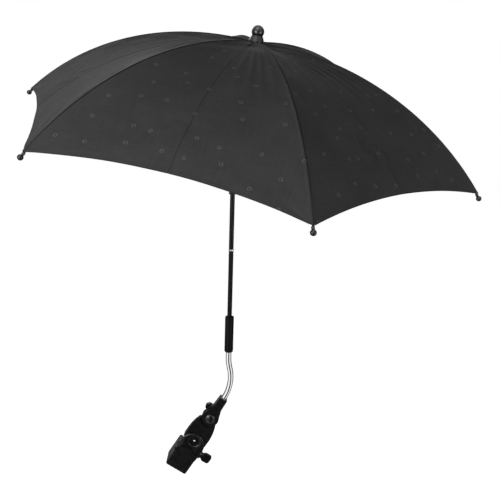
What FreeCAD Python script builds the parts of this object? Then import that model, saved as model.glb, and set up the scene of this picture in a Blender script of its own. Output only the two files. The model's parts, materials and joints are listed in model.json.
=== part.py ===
"""Pram parasol with a six-rib folding canopy, a tilting pole, a bent stem and a screw clamp.

Frame in mm: the origin is the centre of the clamped tube, +Z runs up the pole and -Y faces the photo.
"""
import FreeCAD
import Part
import math
import os

Vector = FreeCAD.Vector
Placement = FreeCAD.Placement
Rotation = FreeCAD.Rotation
X_AXIS = Vector(1, 0, 0)
Y_AXIS = Vector(0, 1, 0)
Z_AXIS = Vector(0, 0, 1)

doc = FreeCAD.newDocument("pram_parasol")
sheet = doc.addObject("Spreadsheet::Sheet", "Sizes")

SIZES = {
    "tube_radius": 12.5,
    "liner_thickness": 1.5,
    "liner_inset": 1,
    "liner_rise": 4,
    "jaw_half_width": 19,
    "jaw_bottom": 17,
    "jaw_block_top": 17,
    "jaw_channel_top": 24,
    "jaw_back_depth": 9,
    "jaw_corner": 3,
    "lip_thickness": 3.7,
    "lip_crown": 10,
    "lip_proud": 0.6,
    "lug_radius": 15.5,
    "lug_neck": 9,
    "lug_clearance": 0.8,
    "bolt_rise": 42,
    "arm_length": 48,
    "arm_half_width": 20,
    "arm_top_half_width": 14,
    "arm_shoulder_drop": 4,
    "arm_back": 13,
    "arm_web": 5,
    "arm_face": 6,
    "arm_plane": 19,
    "socket_length": 40.5,
    "clamp_lean": 31.5,
    "moulded_edge": 1.2,
    "side_clearance": 0.3,
    "end_gap": 0.3,
    "running_fit": 0.05,
    "bolt_radius": 3,
    "bolt_head_radius": 4.6,
    "bolt_head_height": 1.6,
    "bolt_head_sink": 2,
    "bolt_head_recess": 8.6,
    "nut_radius": 6,
    "nut_height": 2.7,
    "screw_rise": 14,
    "screw_nose_radius": 1.5,
    "pad_radius": 5.2,
    "pad_height": 3.6,
    "pad_travel": 6,
    "boss_radius": 7.5,
    "boss_length": 8,
    "collar_height": 3.6,
    "paddle_length": 17,
    "paddle_half_width": 8,
    "paddle_thickness": 5.2,
    "cheek_radius": 13.5,
    "cheek_clearance": 2.6,
    "fork_thickness": 13,
    "tongue_radius": 11,
    "tongue_thickness": 4,
    "tongue_clearance": 0.7,
    "socket_web": 4.8,
    "socket_half_width": 6.4,
    "cap_radius": 7.9,
    "cap_rim": 1.6,
    "cap_height": 4.1,
    "knob_radius": 8.4,
    "knob_height": 12,
    "knob_reach": 18.6,
    "knob_wing": 5.6,
    "knob_turn": 46,
    "stem_radius": 4.5,
    "stem_wall": 0.8,
    "stem_bend_radius": 70,
    "stem_jog": 14,
    "stem_straight": 10.29,
    "stem_insert": 14.5,
    "sleeve_wall": 2.4,
    "sleeve_length": 59,
    "sleeve_web": 5,
    "pole_radius": 3.65,
    "pole_wall": 0.8,
    "lower_pole_length": 145.7,
    "middle_pole_length": 85.7,
    "coupler_ring_half": 1,
    "coupler_ring_lip": 0.25,
    "coupler_plug": 11,
    "hinge_radius": 5.5,
    "hinge_pin_radius": 1.8,
    "hinge_drop": 16,
    "hinge_ear": 5,
    "hinge_tongue_half": 2.5,
    "hinge_tongue_inset": 0.5,
    "hinge_floor_gap": 1.4,
    "hinge_collar_rise": 9,
    "hinge_collar_height": 5,
    "plug_length": 12,
    "head_tilt": 11.2,
    "head_length": 208,
    "crown_radius": 11,
    "crown_height": 9,
    "crown_top": 1,
    "crown_wire_ring": 7,
    "runner_wire_ring": 8.5,
    "wire_radius": 0.5,
    "rib_pivot_drop": 4.5,
    "rib_count": 6,
    "rib_first_azimuth": 225,
    "cloth_arc_radius": 425.8,
    "cloth_arc_out": 31.5,
    "cloth_peak": 1.2,
    "cloth_thickness": 0.8,
    "cloth_corner": 343,
    "cloth_hole": 6.2,
    "cloth_gap": 0.1,
    "scallop_rise": 10.5,
    "rib_below_cloth": 2.3,
    "rib_radius": 1.1,
    "eye_radius": 1.9,
    "eye_thickness": 1.6,
    "eye_bar_length": 12,
    "slot_clearance": 0.5,
    "tip_out": 5.3,
    "tip_ball_radius": 3.75,
    "tip_neck_radius": 1.75,
    "tip_neck_length": 7.2,
    "finial_ball_radius": 8.8,
    "finial_ball_rise": 13.9,
    "finial_neck_radius": 6.7,
    "finial_skirt_radius": 10.75,
    "finial_skirt_rim": 0.7,
    "finial_plug": 18,
    "stretcher_out": 92,
    "stretcher_offset": 4.2,
    "stretcher_pitch": 29.23,
    "stretcher_radius": 1.2,
    "plate_radius": 2.4,
    "plate_thickness": 1.8,
    "rivet_radius": 0.8,
    "rivet_fit": 0.06,
    "rivet_head_radius": 1.5,
    "fork_wall": 1.4,
    "runner_grip": 15,
    "runner_half_height": 4.2,
    "runner_radius": 12.4,
    "runner_neck_radius": 6.2,
    "catch_length": 11,
    "catch_reach": 5.8,
}
for row, (alias, value) in enumerate(SIZES.items(), start=1):
    sheet.set(f"A{row}", alias)
    sheet.set(f"B{row}", str(value))
    sheet.setAlias(f"B{row}", alias)
doc.recompute()

nodes = {}


def size(alias):
    """Value of one named size in mm or degrees."""
    return float(sheet.get(alias))


def bind(item, prop, value):
    """Binds a property to an expression, or sets a plain number."""
    if isinstance(value, str):
        item.setExpression(prop, value)
    else:
        setattr(item, prop, value)


def cylinder(name, radius, height, base, direction=Z_AXIS):
    """Solid cylinder from a base point along a direction."""
    item = doc.addObject("Part::Cylinder", name)
    bind(item, "Radius", radius)
    bind(item, "Height", height)
    item.Placement = Placement(Vector(*base), Rotation(Z_AXIS, direction))
    return item


def box(name, low, high):
    """Box between two corners."""
    item = doc.addObject("Part::Box", name)
    item.Length = high[0] - low[0]
    item.Width = high[1] - low[1]
    item.Height = high[2] - low[2]
    item.Placement = Placement(Vector(*low), Rotation())
    return item


def sphere(name, radius, centre):
    """Solid ball."""
    item = doc.addObject("Part::Sphere", name)
    bind(item, "Radius", radius)
    item.Placement = Placement(Vector(*centre), Rotation())
    return item


def arc_rod(name, bend_radius, rod_radius, centre, start, sweep):
    """Round rod bent to a circle in an XZ plane, from a start angle over a sweep in degrees."""
    item = doc.addObject("Part::Torus", name)
    bind(item, "Radius1", bend_radius)
    bind(item, "Radius2", rod_radius)
    item.Angle3 = sweep
    item.Placement = Placement(Vector(*centre), Rotation(X_AXIS, 90) * Rotation(Z_AXIS, start))
    return item


def wire_ring(name, ring_radius, level):
    """Closed wire ring lying level, as a torus."""
    item = doc.addObject("Part::Torus", name)
    bind(item, "Radius1", ring_radius)
    bind(item, "Radius2", "Sizes.wire_radius")
    item.Placement = Placement(Vector(0, 0, level), Rotation())
    return item


def fuse(name, items):
    """Union of several solids."""
    item = doc.addObject("Part::MultiFuse", name)
    item.Shapes = items
    item.Refine = True
    return item


def cut(name, base, tools):
    """A solid less one or more tools."""
    item = doc.addObject("Part::Cut", name)
    item.Base = base
    item.Tool = tools[0] if len(tools) == 1 else fuse(name + "_tools", tools)
    item.Refine = True
    return item


def common(name, items):
    """The volume that several solids share."""
    item = doc.addObject("Part::MultiCommon", name)
    item.Shapes = items
    return item


def plane_of(body, role):
    """One of a body's own origin planes."""
    return [feature for feature in body.Origin.OriginFeatures if feature.Role == role][0]


def draw(sketch, start, steps):
    """Closed outline: two numbers draw a line to a point, four draw an arc through a point to a point."""
    here = Vector(start[0], start[1], 0)
    for step in steps:
        end = Vector(step[-2], step[-1], 0)
        if len(step) == 2:
            sketch.addGeometry(Part.LineSegment(here, end), False)
        else:
            through = Vector(step[0], step[1], 0)
            sketch.addGeometry(Part.Arc(here, through, end), False)
        here = end


def sketch_in(body, name, forward):
    """Sketch on the body's XZ plane, moved towards -Y by a distance."""
    sketch = body.newObject("Sketcher::SketchObject", name)
    sketch.AttachmentSupport = (plane_of(body, "XZ_Plane"), [""])
    sketch.MapMode = "FlatFace"
    sketch.AttachmentOffset = Placement(Vector(0, 0, forward), Rotation())
    return sketch


def slab(name, back, thickness, start, steps):
    """Plate drawn in the XZ plane whose back face lies at y = back and whose thickness runs to -Y."""
    body = doc.addObject("PartDesign::Body", name)
    sketch = sketch_in(body, name + "_outline", -back)
    draw(sketch, start, steps)
    pad = body.newObject("PartDesign::Pad", name + "_pad")
    pad.Profile = (sketch, [""])
    bind(pad, "Length", thickness)
    return body


def turned(name, start, steps):
    """Turned piece: a half profile of radius and height, revolved about Z."""
    body = doc.addObject("PartDesign::Body", name)
    sketch = sketch_in(body, name + "_profile", 0)
    draw(sketch, start, steps)
    turn = body.newObject("PartDesign::Revolution", name + "_turn")
    turn.Profile = (sketch, [""])
    turn.ReferenceAxis = (sketch, ["V_Axis"])
    turn.Angle = 360
    return body


def soften(body, radius, levels):
    """Rounds the outline of a plate on its faces at the given depths."""
    doc.recompute()
    plate = body.Tip
    names = []
    for number, line in enumerate(plate.Shape.Edges, start=1):
        depths = [corner_point.Point.y for corner_point in line.Vertexes]
        if any(all(abs(depth - level) < 0.001 for depth in depths) for level in levels):
            names.append(f"Edge{number}")
    rounding = body.newObject("PartDesign::Fillet", body.Name + "_edge")
    rounding.Base = (plate, names)
    rounding.Radius = radius


def node(label, item, placement=None):
    """Names a finished sub-part and puts it in the shared frame."""
    item.Label = label
    if placement is not None:
        item.Placement = placement.multiply(item.Placement)
    nodes[label] = item


# Frames of the clamp, the pole and the tilted head.
lean = math.radians(size("clamp_lean"))
arm_y = -size("arm_plane")
clamp_frame = Placement(Vector(0, 0, 0), Rotation(Y_AXIS, size("clamp_lean")))
bolt_z = size("bolt_rise")
pivot_z = bolt_z + size("arm_length")
mouth_z = pivot_z + size("socket_length")
bend = size("stem_bend_radius")
jog = math.radians(size("stem_jog"))
mouth = Vector(math.sin(lean), 0, math.cos(lean)) * mouth_z
pole_x = mouth.x + bend * (2 * math.cos(jog) - 1 - math.cos(lean))
stem_start = mouth.z + bend * (2 * math.sin(jog) + math.sin(lean))
end_gap = size("end_gap")
sleeve_low = stem_start + size("stem_straight")
sleeve_high = sleeve_low + size("sleeve_length")
stem_top = sleeve_low + size("stem_insert")
sleeve_ledge = stem_top + end_gap
sleeve_floor = sleeve_ledge + size("sleeve_web")
pole_low = sleeve_floor + end_gap
coupler_z = pole_low + size("lower_pole_length") + size("coupler_ring_half")
hinge_z = coupler_z + size("coupler_ring_half") + size("middle_pole_length") + size("hinge_drop")
hinge_point = Vector(pole_x, arm_y, hinge_z)
pole_frame = Placement(Vector(pole_x, arm_y, 0), Rotation())
hinge_turn = Rotation(Z_AXIS, -45)
lower_hinge_frame = Placement(hinge_point, hinge_turn)
tilt_turn = Rotation(Vector(1, 1, 0), size("head_tilt"))
head_frame = Placement(hinge_point, tilt_turn)
upper_hinge_frame = Placement(hinge_point, tilt_turn * hinge_turn)
crown_frame = head_frame.multiply(Placement(Vector(0, 0, size("head_length")), Rotation()))
FORWARD = Vector(0, -1, 0)

# Depths of the clamp's layers, from the back of the arm to the front of the lip.
clear = size("side_clearance")
edge = size("moulded_edge")
arm_low_y = -size("arm_back")
web_y = arm_low_y - size("arm_web")
face_y = web_y - size("arm_face")
lip_y = face_y - clear
front_y = lip_y - size("lip_thickness")
running_bore = "Sizes.bolt_radius + Sizes.running_fit"

# Clamp jaw: a U channel round the tube, a front lip and a round lug for the arm.
half = size("jaw_half_width")
low = -size("jaw_bottom")
block_top = size("jaw_block_top")
channel_top = size("jaw_channel_top")
jaw_back = size("jaw_back_depth")
corner = size("jaw_corner")
nip = corner * (1 - math.sqrt(0.5))
block_front = front_y + size("lip_proud")
block_back = arm_low_y / 2
block = slab("jaw_block", block_back, block_back - block_front, (-half + corner, low), [
    (half - corner, low),
    (half - nip, low + nip, half, low + corner),
    (half, block_top),
    (-half, block_top),
    (-half, low + corner),
    (-half + nip, low + nip, -half + corner, low),
])
soften(block, edge, [block_front])
cheeks = slab("jaw_cheeks", jaw_back, jaw_back - arm_low_y - clear, (-half + corner, low), [
    (half - corner, low),
    (half - nip, low + nip, half, low + corner),
    (half, channel_top - corner),
    (half - nip, channel_top - nip, half - corner, channel_top),
    (-half + corner, channel_top),
    (-half + nip, channel_top - nip, -half, channel_top - corner),
    (-half, low + corner),
    (-half + nip, low + nip, -half + corner, low),
])
soften(cheeks, edge, [jaw_back])
lip_low = block_top - 5
lip = slab("jaw_lip", lip_y, "Sizes.lip_thickness", (-half, lip_low), [
    (half, lip_low),
    (half + 0.6, block_top + 0.6),
    (0, block_top + size("lip_crown"), -half - 2.2, block_top + 1.4),
    (-half - 2.2, block_top - 1.4),
    (-half, lip_low),
])
lug_r = size("lug_radius")
neck = size("lug_neck")
shoulder = bolt_z - math.sqrt(lug_r ** 2 - neck ** 2)
lug = slab("jaw_lug", web_y - clear, "Sizes.arm_face - Sizes.side_clearance", (-neck, lip_low), [
    (neck, lip_low),
    (neck, shoulder),
    (0, bolt_z + lug_r, -neck, shoulder),
    (-neck, lip_low),
])
screw_z = size("screw_rise")
boss_end = half + size("boss_length")
boss = cylinder("jaw_boss", "Sizes.boss_radius", boss_end - half + corner,
                (half - corner, 0, screw_z), X_AXIS)
jaw_body = fuse("jaw_body", [block, cheeks, lip, lug, boss])
jaw_body.Refine = False
channel_radius = "Sizes.tube_radius + Sizes.liner_thickness"
inner = size("tube_radius") + size("liner_thickness")
tall = channel_top - low
channel = cylinder("jaw_channel", channel_radius, 3 * tall, (0, 0, low - tall))
mouth_slot = box("jaw_mouth", (-inner, 0, low - tall), (inner, 2 * jaw_back, channel_top + tall))
pad_start = size("tube_radius") + size("running_fit")
pad_high = size("pad_height")
pocket_end = pad_start + pad_high + size("pad_travel") + end_gap
pad_pocket = cylinder("jaw_pad_pocket", "Sizes.pad_radius + Sizes.side_clearance", pocket_end - inner / 2,
                      (inner / 2, 0, screw_z), X_AXIS)
screw_bore = cylinder("jaw_screw_bore", running_bore, 2 * boss_end, (inner / 2, 0, screw_z), X_AXIS)
bolt_bore = cylinder("jaw_bolt_bore", "Sizes.bolt_radius", -2 * face_y, (0, 0, bolt_z), FORWARD)
head_floor = face_y + size("bolt_head_sink")
head_recess = cylinder("jaw_head_recess", "Sizes.bolt_head_recess", -face_y, (0, head_floor, bolt_z), FORWARD)
jaw = cut("jaw_cut", jaw_body, [channel, mouth_slot, pad_pocket, screw_bore, bolt_bore, head_recess])
node("jaw", jaw, clamp_frame)

# Rubber liner in the channel, with a window for the pressure pad.
liner_low = low + size("liner_inset")
liner_long = channel_top - size("liner_inset") - liner_low
liner_ring = cylinder("liner_outer", channel_radius, liner_long, (0, 0, liner_low))
liner_bore = cylinder("liner_bore", "Sizes.tube_radius", 3 * tall, (0, 0, low - tall))
liner_back = box("liner_back", (-2 * inner, size("liner_rise"), low - tall),
                 (2 * inner, 3 * inner, channel_top + tall))
liner_window = cylinder("liner_window", "Sizes.pad_radius + 2 * Sizes.side_clearance", 2 * inner,
                        (inner / 2, 0, screw_z), X_AXIS)
liner = cut("liner_cut", liner_ring, [liner_bore, liner_back, liner_window])
node("jaw_liner", liner, clamp_frame)

# Clamp screw with a flat paddle, and the pressure pad on its nose.
nose_sink = 0.6 * pad_high
pad_disc = cylinder("pad_disc", "Sizes.pad_radius", "Sizes.pad_height", (pad_start, 0, screw_z), X_AXIS)
pad_socket = cylinder("pad_socket", "Sizes.screw_nose_radius + Sizes.running_fit", 2 * nose_sink,
                      (pad_start + pad_high - nose_sink, 0, screw_z), X_AXIS)
node("pressure_pad", cut("pad_cut", pad_disc, [pad_socket]), clamp_frame)

shank_start = pad_start + pad_high + size("cloth_gap")
collar_start = boss_end + 2 * clear
nose_start = pad_start + pad_high - nose_sink + size("cloth_gap")
screw_nose = cylinder("screw_nose", "Sizes.screw_nose_radius", 2 * nose_sink,
                      (nose_start, 0, screw_z), X_AXIS)
screw_shank = cylinder("screw_shank", "Sizes.bolt_radius", collar_start - shank_start + 1,
                       (shank_start, 0, screw_z), X_AXIS)
screw_collar = cylinder("screw_collar", "Sizes.pad_radius", "Sizes.collar_height",
                        (collar_start, 0, screw_z), X_AXIS)
wide = size("paddle_half_width")
thick = size("paddle_thickness")
paddle_at = collar_start + size("collar_height") / 2
paddle_end = paddle_at + size("paddle_length")
round_off = 0.6 * wide
round_nip = 0.29 * round_off
paddle = slab("screw_paddle", thick / 2, "Sizes.paddle_thickness", (paddle_at, screw_z - 0.55 * wide), [
    (paddle_at + round_off, screw_z - wide),
    (paddle_end - round_off, screw_z - wide),
    (paddle_end - round_nip, screw_z - wide + round_nip, paddle_end, screw_z - wide + round_off),
    (paddle_end, screw_z + wide - round_off),
    (paddle_end - round_nip, screw_z + wide - round_nip, paddle_end - round_off, screw_z + wide),
    (paddle_at + round_off, screw_z + wide),
    (paddle_at, screw_z + 0.55 * wide),
    (paddle_at, screw_z - 0.55 * wide),
])
soften(paddle, edge, [thick / 2, -thick / 2])
screw = fuse("screw_fuse", [screw_nose, screw_shank, screw_collar, paddle])
node("clamp_screw", screw, clamp_frame)

# Arm: a thick plate with a round recess for the jaw's lug and a tongue for the socket.
arm_half = size("arm_half_width")
arm_top = size("arm_top_half_width")
arm_rise = size("arm_length")
arm_shoulder = pivot_z - size("arm_shoulder_drop")
arm_sides = [
    (arm_half, bolt_z + arm_rise / 4),
    (arm_half - 1, bolt_z + arm_rise / 2, arm_top, pivot_z - arm_rise / 8),
    (arm_top, arm_shoulder),
    (-arm_top, arm_shoulder),
    (-arm_top, pivot_z - arm_rise / 8),
    (-arm_half + 1, bolt_z + arm_rise / 2, -arm_half, bolt_z + arm_rise / 4),
]
arm_front = slab("arm_front", web_y, "Sizes.arm_face", (-arm_half, bolt_z - 1),
                 [(arm_half, bolt_z - 1)] + arm_sides + [(-arm_half, bolt_z - 1)])
foot = lug_r + size("lug_clearance") - clear
arm_foot = [(0, bolt_z - foot, foot, bolt_z), (arm_half, bolt_z)]
arm_back = slab("arm_back", arm_low_y, "Sizes.arm_web", (-foot, bolt_z),
                arm_foot + arm_sides + [(-arm_half, bolt_z), (-foot, bolt_z)])
recess = cylinder("arm_recess", "Sizes.lug_radius + Sizes.lug_clearance", "2 * Sizes.arm_face",
                  (0, web_y, bolt_z), FORWARD)
tongue_half = size("tongue_thickness") / 2
cheek_space = "Sizes.cheek_radius + Sizes.cheek_clearance"
clear_front = cylinder("arm_clear_front", cheek_space, "Sizes.arm_back",
                       (0, arm_y - tongue_half, pivot_z), FORWARD)
clear_back = cylinder("arm_clear_back", cheek_space, "Sizes.arm_back",
                      (0, arm_y + tongue_half, pivot_z), Y_AXIS)
arm_plates = cut("arm_plates", fuse("arm_body", [arm_front, arm_back]), [recess, clear_front, clear_back])
tongue_r = size("tongue_radius")
tongue_low = pivot_z - size("cheek_radius") - size("cheek_clearance") - 5
tongue = slab("arm_tongue", arm_y + tongue_half, "Sizes.tongue_thickness", (-tongue_r, tongue_low), [
    (tongue_r, tongue_low),
    (tongue_r, pivot_z),
    (0, pivot_z + tongue_r, -tongue_r, pivot_z),
    (-tongue_r, tongue_low),
])
nut_floor = arm_low_y - size("nut_height") - clear
arm_bores = [
    cylinder("arm_bolt_bore", running_bore, -2 * face_y, (0, 0, bolt_z), FORWARD),
    cylinder("arm_pivot_bore", running_bore, -2 * face_y, (0, 0, pivot_z), FORWARD),
    cylinder("arm_nut_recess", "Sizes.nut_radius + 2 * Sizes.side_clearance", "Sizes.arm_back",
             (0, nut_floor, bolt_z), Y_AXIS),
]
arm = cut("arm_cut", fuse("arm_fuse", [arm_plates, tongue]), arm_bores)
node("arm", arm, clamp_frame)

# Lug bolt with a round head in front and a nut let into the back of the arm.
head_high = size("bolt_head_height")
lug_head = cylinder("lug_bolt_head", "Sizes.bolt_head_radius", "Sizes.bolt_head_height",
                    (0, head_floor, bolt_z), FORWARD)
lug_shank = cylinder("lug_bolt_shank", "Sizes.bolt_radius", arm_low_y - head_floor + head_high / 2,
                     (0, arm_low_y, bolt_z), FORWARD)
node("lug_bolt", fuse("lug_bolt_fuse", [lug_head, lug_shank]), clamp_frame)
nut_disc = cylinder("lug_nut_disc", "Sizes.nut_radius", "Sizes.nut_height", (0, arm_low_y, bolt_z), FORWARD)
nut_bore = cylinder("lug_nut_bore", "Sizes.bolt_radius", -2 * face_y, (0, 0, bolt_z), FORWARD)
node("lug_nut", cut("lug_nut_cut", nut_disc, [nut_bore]), clamp_frame)

# Socket: a fork round the arm's tongue that narrows to a round mouth for the stem.
fork_half = size("fork_thickness") / 2
cheek = size("cheek_radius")
mouth_half = size("socket_half_width")
slot_top = pivot_z + tongue_r + size("tongue_clearance")
bore_floor = slot_top + size("socket_web")
fork = slab("socket_fork", arm_y + fork_half, "Sizes.fork_thickness", (-mouth_half, mouth_z), [
    (-mouth_half - 0.8, bore_floor + 5.5),
    (-0.7 * cheek, slot_top + 3.3, -cheek, pivot_z + 3),
    (0, pivot_z - cheek, cheek, pivot_z + 3),
    (0.7 * cheek, slot_top + 3.3, mouth_half + 0.8, bore_floor + 5.5),
    (mouth_half, mouth_z),
    (-mouth_half, mouth_z),
])
slot_half = tongue_half + clear
fork_slot = box("socket_slot", (-2 * cheek, arm_y - slot_half, pivot_z - 2 * cheek),
                (2 * cheek, arm_y + slot_half, slot_top))
stem_bore = cylinder("socket_bore", "Sizes.stem_radius", "Sizes.socket_length", (0, arm_y, bore_floor))
pivot_bore = cylinder("socket_pivot_bore", "Sizes.bolt_radius", -3 * arm_y, (0, -arm_y, pivot_z), FORWARD)
node("socket", cut("socket_cut", fork, [fork_slot, stem_bore, pivot_bore]), clamp_frame)

# Pivot bolt with a round domed cap, and its wing knob at the back.
cap_r = size("cap_radius")
cap_rim = size("cap_rim")
cap_high = size("cap_height")
cap_rise = cap_high - cap_rim
cap_ball = (cap_r ** 2 + cap_rise ** 2) / (2 * cap_rise)
cap_half = math.sqrt(cap_ball ** 2 - (cap_r / 2) ** 2)
cap = turned("pivot_cap", (0, 0), [
    (cap_r, 0),
    (cap_r, cap_rim),
    (cap_r / 2, cap_high - cap_ball + cap_half, 0, cap_high),
    (0, 0),
])
cap_y = arm_y - fork_half
cap.Placement = Placement(Vector(0, cap_y, pivot_z), Rotation(Z_AXIS, FORWARD))
knob_y = arm_y + fork_half + clear
knob_high = size("knob_height")
shank_end = knob_y + knob_high + 2
pivot_shank = cylinder("pivot_shank", "Sizes.bolt_radius", shank_end - cap_y + cap_rim / 2,
                       (0, shank_end, pivot_z), FORWARD)
node("pivot_bolt", fuse("pivot_bolt_fuse", [cap, pivot_shank]), clamp_frame)

knob_r = size("knob_radius")
knob_hub = turned("knob_hub", (0, 0), [
    (knob_r, 0),
    (knob_r, 0.15 * knob_high),
    (0.76 * knob_r, 0.92 * knob_high),
    (0.64 * knob_r, knob_high),
    (0, knob_high),
    (0, 0),
])
knob_hub.Placement = Placement(Vector(0, 0, 0), Rotation(Z_AXIS, Y_AXIS))
reach = size("knob_reach")
wing = size("knob_wing")
wing_back = 0.875 * knob_high
wing_thick = 0.54 * knob_high
waist = 0.82 * wing
knob_wings = slab("knob_wings", wing_back, wing_thick, (-0.59 * reach, wing), [
    (0, waist, 0.59 * reach, wing),
    (0.935 * reach, 0.75 * wing, reach, 0),
    (0.935 * reach, -0.75 * wing, 0.59 * reach, -wing),
    (0, -waist, -0.59 * reach, -wing),
    (-0.935 * reach, -0.75 * wing, -reach, 0),
    (-0.935 * reach, 0.75 * wing, -0.59 * reach, wing),
])
knob_bore = cylinder("knob_bore", running_bore, 3 * knob_high, (0, -knob_high, 0), Y_AXIS)
knob = cut("knob_cut", fuse("knob_fuse", [knob_hub, knob_wings]), [knob_bore])
knob_place = Placement(Vector(0, knob_y, pivot_z), Rotation(Y_AXIS, size("knob_turn")))
node("wing_knob", knob, clamp_frame.multiply(knob_place))

# Bent stem: straight, a jog to the right, a bend to the left, then straight into the socket.
stem_bore_r = "Sizes.stem_radius - Sizes.stem_wall"
stem_end = mouth_z - bore_floor - end_gap
bend_one = Vector(pole_x + bend, arm_y, stem_start)
jog_end = bend_one + Vector(-math.cos(jog), 0, -math.sin(jog)) * bend
bend_two = jog_end + Vector(-math.cos(jog), 0, -math.sin(jog)) * bend


def stem_rod(name, radius, spare):
    """The stem's path as a round rod, with a little spare length at both ends."""
    down = Vector(-math.sin(lean), 0, -math.cos(lean))
    at_mouth = Vector(mouth.x, arm_y, mouth.z)
    return fuse(name, [
        cylinder(name + "_top", radius, stem_top - stem_start + spare, (pole_x, arm_y, stem_start)),
        arc_rod(name + "_jog", "Sizes.stem_bend_radius", radius, bend_one, 180, size("stem_jog")),
        arc_rod(name + "_bend", "Sizes.stem_bend_radius", radius, bend_two, -size("clamp_lean"),
                size("stem_jog") + size("clamp_lean")),
        cylinder(name + "_end", radius, stem_end + spare, at_mouth, down),
    ])


stem_outer = stem_rod("stem_outer", "Sizes.stem_radius", 0)
node("stem_tube", cut("stem_cut", stem_outer, [stem_rod("stem_inner", stem_bore_r, 2)]))

# Sleeve that takes the stem below and the pole above.
stem_r = size("stem_radius")
sleeve_r = stem_r + size("sleeve_wall")
slide_r = size("pole_radius") + size("running_fit")
bevel = 0.7
sleeve = turned("sleeve_body", (stem_r, sleeve_low), [
    (sleeve_r - 2 * bevel, sleeve_low),
    (sleeve_r - 0.6 * bevel, sleeve_low + 0.6 * bevel, sleeve_r, sleeve_low + 2 * bevel),
    (sleeve_r, sleeve_high - bevel),
    (sleeve_r - bevel, sleeve_high),
    (slide_r + 1.2, sleeve_high),
    (slide_r, sleeve_high - 1.6),
    (slide_r, sleeve_floor),
    (stem_r / 2, sleeve_floor),
    (stem_r / 2, sleeve_ledge),
    (stem_r, sleeve_ledge),
    (stem_r, sleeve_low),
])
node("sleeve", sleeve, pole_frame)

# Pole in two lengths with a ringed coupler between them.
pole_bore = "Sizes.pole_radius - Sizes.pole_wall"
pole_r = size("pole_radius")
bore_r = pole_r - size("pole_wall")
ring = size("coupler_ring_half")
hinge_drop = size("hinge_drop")
plug = size("plug_length")


def pole_tube(name, low_end, high_end):
    """Length of round pole tube."""
    outer = cylinder(name + "_outer", "Sizes.pole_radius", high_end - low_end, (0, 0, low_end))
    bore = cylinder(name + "_bore", pole_bore, high_end - low_end + 2 * plug, (0, 0, low_end - plug))
    return cut(name + "_cut", outer, [bore])


node("lower_pole", pole_tube("lower_pole_tube", pole_low, coupler_z - ring), pole_frame)
node("middle_pole", pole_tube("middle_pole_tube", coupler_z + ring, hinge_z - hinge_drop), pole_frame)
ring_r = pole_r + size("coupler_ring_lip")
plug_end = ring + size("coupler_plug")
coupler = turned("coupler_body", (0, coupler_z - plug_end), [
    (bore_r, coupler_z - plug_end),
    (bore_r, coupler_z - ring),
    (ring_r, coupler_z - ring),
    (ring_r, coupler_z + ring),
    (bore_r, coupler_z + ring),
    (bore_r, coupler_z + plug_end),
    (0, coupler_z + plug_end),
    (0, coupler_z - plug_end),
])
node("pole_coupler", coupler, pole_frame)

# Tilt hinge: a fork on the pole, a pin and a tongue that carries the head.
hinge_r = size("hinge_radius")
ear = size("hinge_ear")
blade = size("hinge_tongue_half")
blade_r = hinge_r - size("hinge_tongue_inset")
fork_body = fuse("hinge_fork_body", [
    cylinder("hinge_fork_round", "Sizes.hinge_radius", "Sizes.hinge_drop + Sizes.hinge_ear",
             (0, 0, -hinge_drop)),
    cylinder("hinge_fork_plug", pole_bore, "Sizes.plug_length", (0, 0, -hinge_drop - plug)),
])
hinge_floor = -blade_r - size("hinge_floor_gap")
hinge_slot = box("hinge_slot", (-2 * hinge_r, -blade - clear, hinge_floor),
                 (2 * hinge_r, blade + clear, 3 * ear))
fork_pin_bore = cylinder("hinge_fork_bore", "Sizes.hinge_pin_radius", 4 * hinge_r,
                         (0, -2 * hinge_r, 0), Y_AXIS)
node("hinge_fork", cut("hinge_fork_cut", fork_body, [hinge_slot, fork_pin_bore]), lower_hinge_frame)
pin_round = cylinder("hinge_pin_round", "Sizes.hinge_pin_radius", 4 * hinge_r, (0, -2 * hinge_r, 0), Y_AXIS)
pin_limit = cylinder("hinge_pin_limit", "Sizes.hinge_radius", 4 * ear, (0, 0, -2 * ear))
node("hinge_pin", common("hinge_pin_common", [pin_round, pin_limit]), lower_hinge_frame)
collar_rise = size("hinge_collar_rise")
collar_high = size("hinge_collar_height")
tongue_round = cylinder("hinge_tongue_round", blade_r, 2 * blade, (0, -blade, 0), Y_AXIS)
tongue_bar = box("hinge_tongue_bar", (-blade_r, -blade, 0), (blade_r, blade, collar_rise + 1))
tongue_limit = cylinder("hinge_tongue_limit", "Sizes.hinge_radius", 8 * ear, (0, 0, -4 * ear))
tongue_long = fuse("hinge_tongue_fuse", [tongue_round, tongue_bar])
tongue_flat = common("hinge_tongue_flat", [tongue_long, tongue_limit])
tongue_collar = cylinder("hinge_tongue_collar", "Sizes.hinge_radius", "Sizes.hinge_collar_height",
                         (0, 0, collar_rise))
tongue_plug = cylinder("hinge_tongue_plug", pole_bore, plug, (0, 0, collar_rise + collar_high - 2))
tongue_bore = cylinder("hinge_tongue_bore", "Sizes.hinge_pin_radius + Sizes.running_fit", 4 * hinge_r,
                       (0, -2 * hinge_r, 0), Y_AXIS)
tongue_body = fuse("hinge_tongue_body", [tongue_flat, tongue_collar, tongue_plug])
node("hinge_tongue", cut("hinge_tongue_cut", tongue_body, [tongue_bore]), upper_hinge_frame)

# Linkage of one rib in its own plane, with heights measured from the crown's datum.
cloth_arc = size("cloth_arc_radius")
rib_arc = cloth_arc - size("rib_below_cloth")
arc_x = size("cloth_arc_out")
arc_z = size("cloth_peak") - cloth_arc


def arc_height(radius, reach_out):
    """Height of an arc about the canopy's centre at a distance from the axis."""
    return arc_z + math.sqrt(radius ** 2 - (reach_out - arc_x) ** 2)


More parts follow.
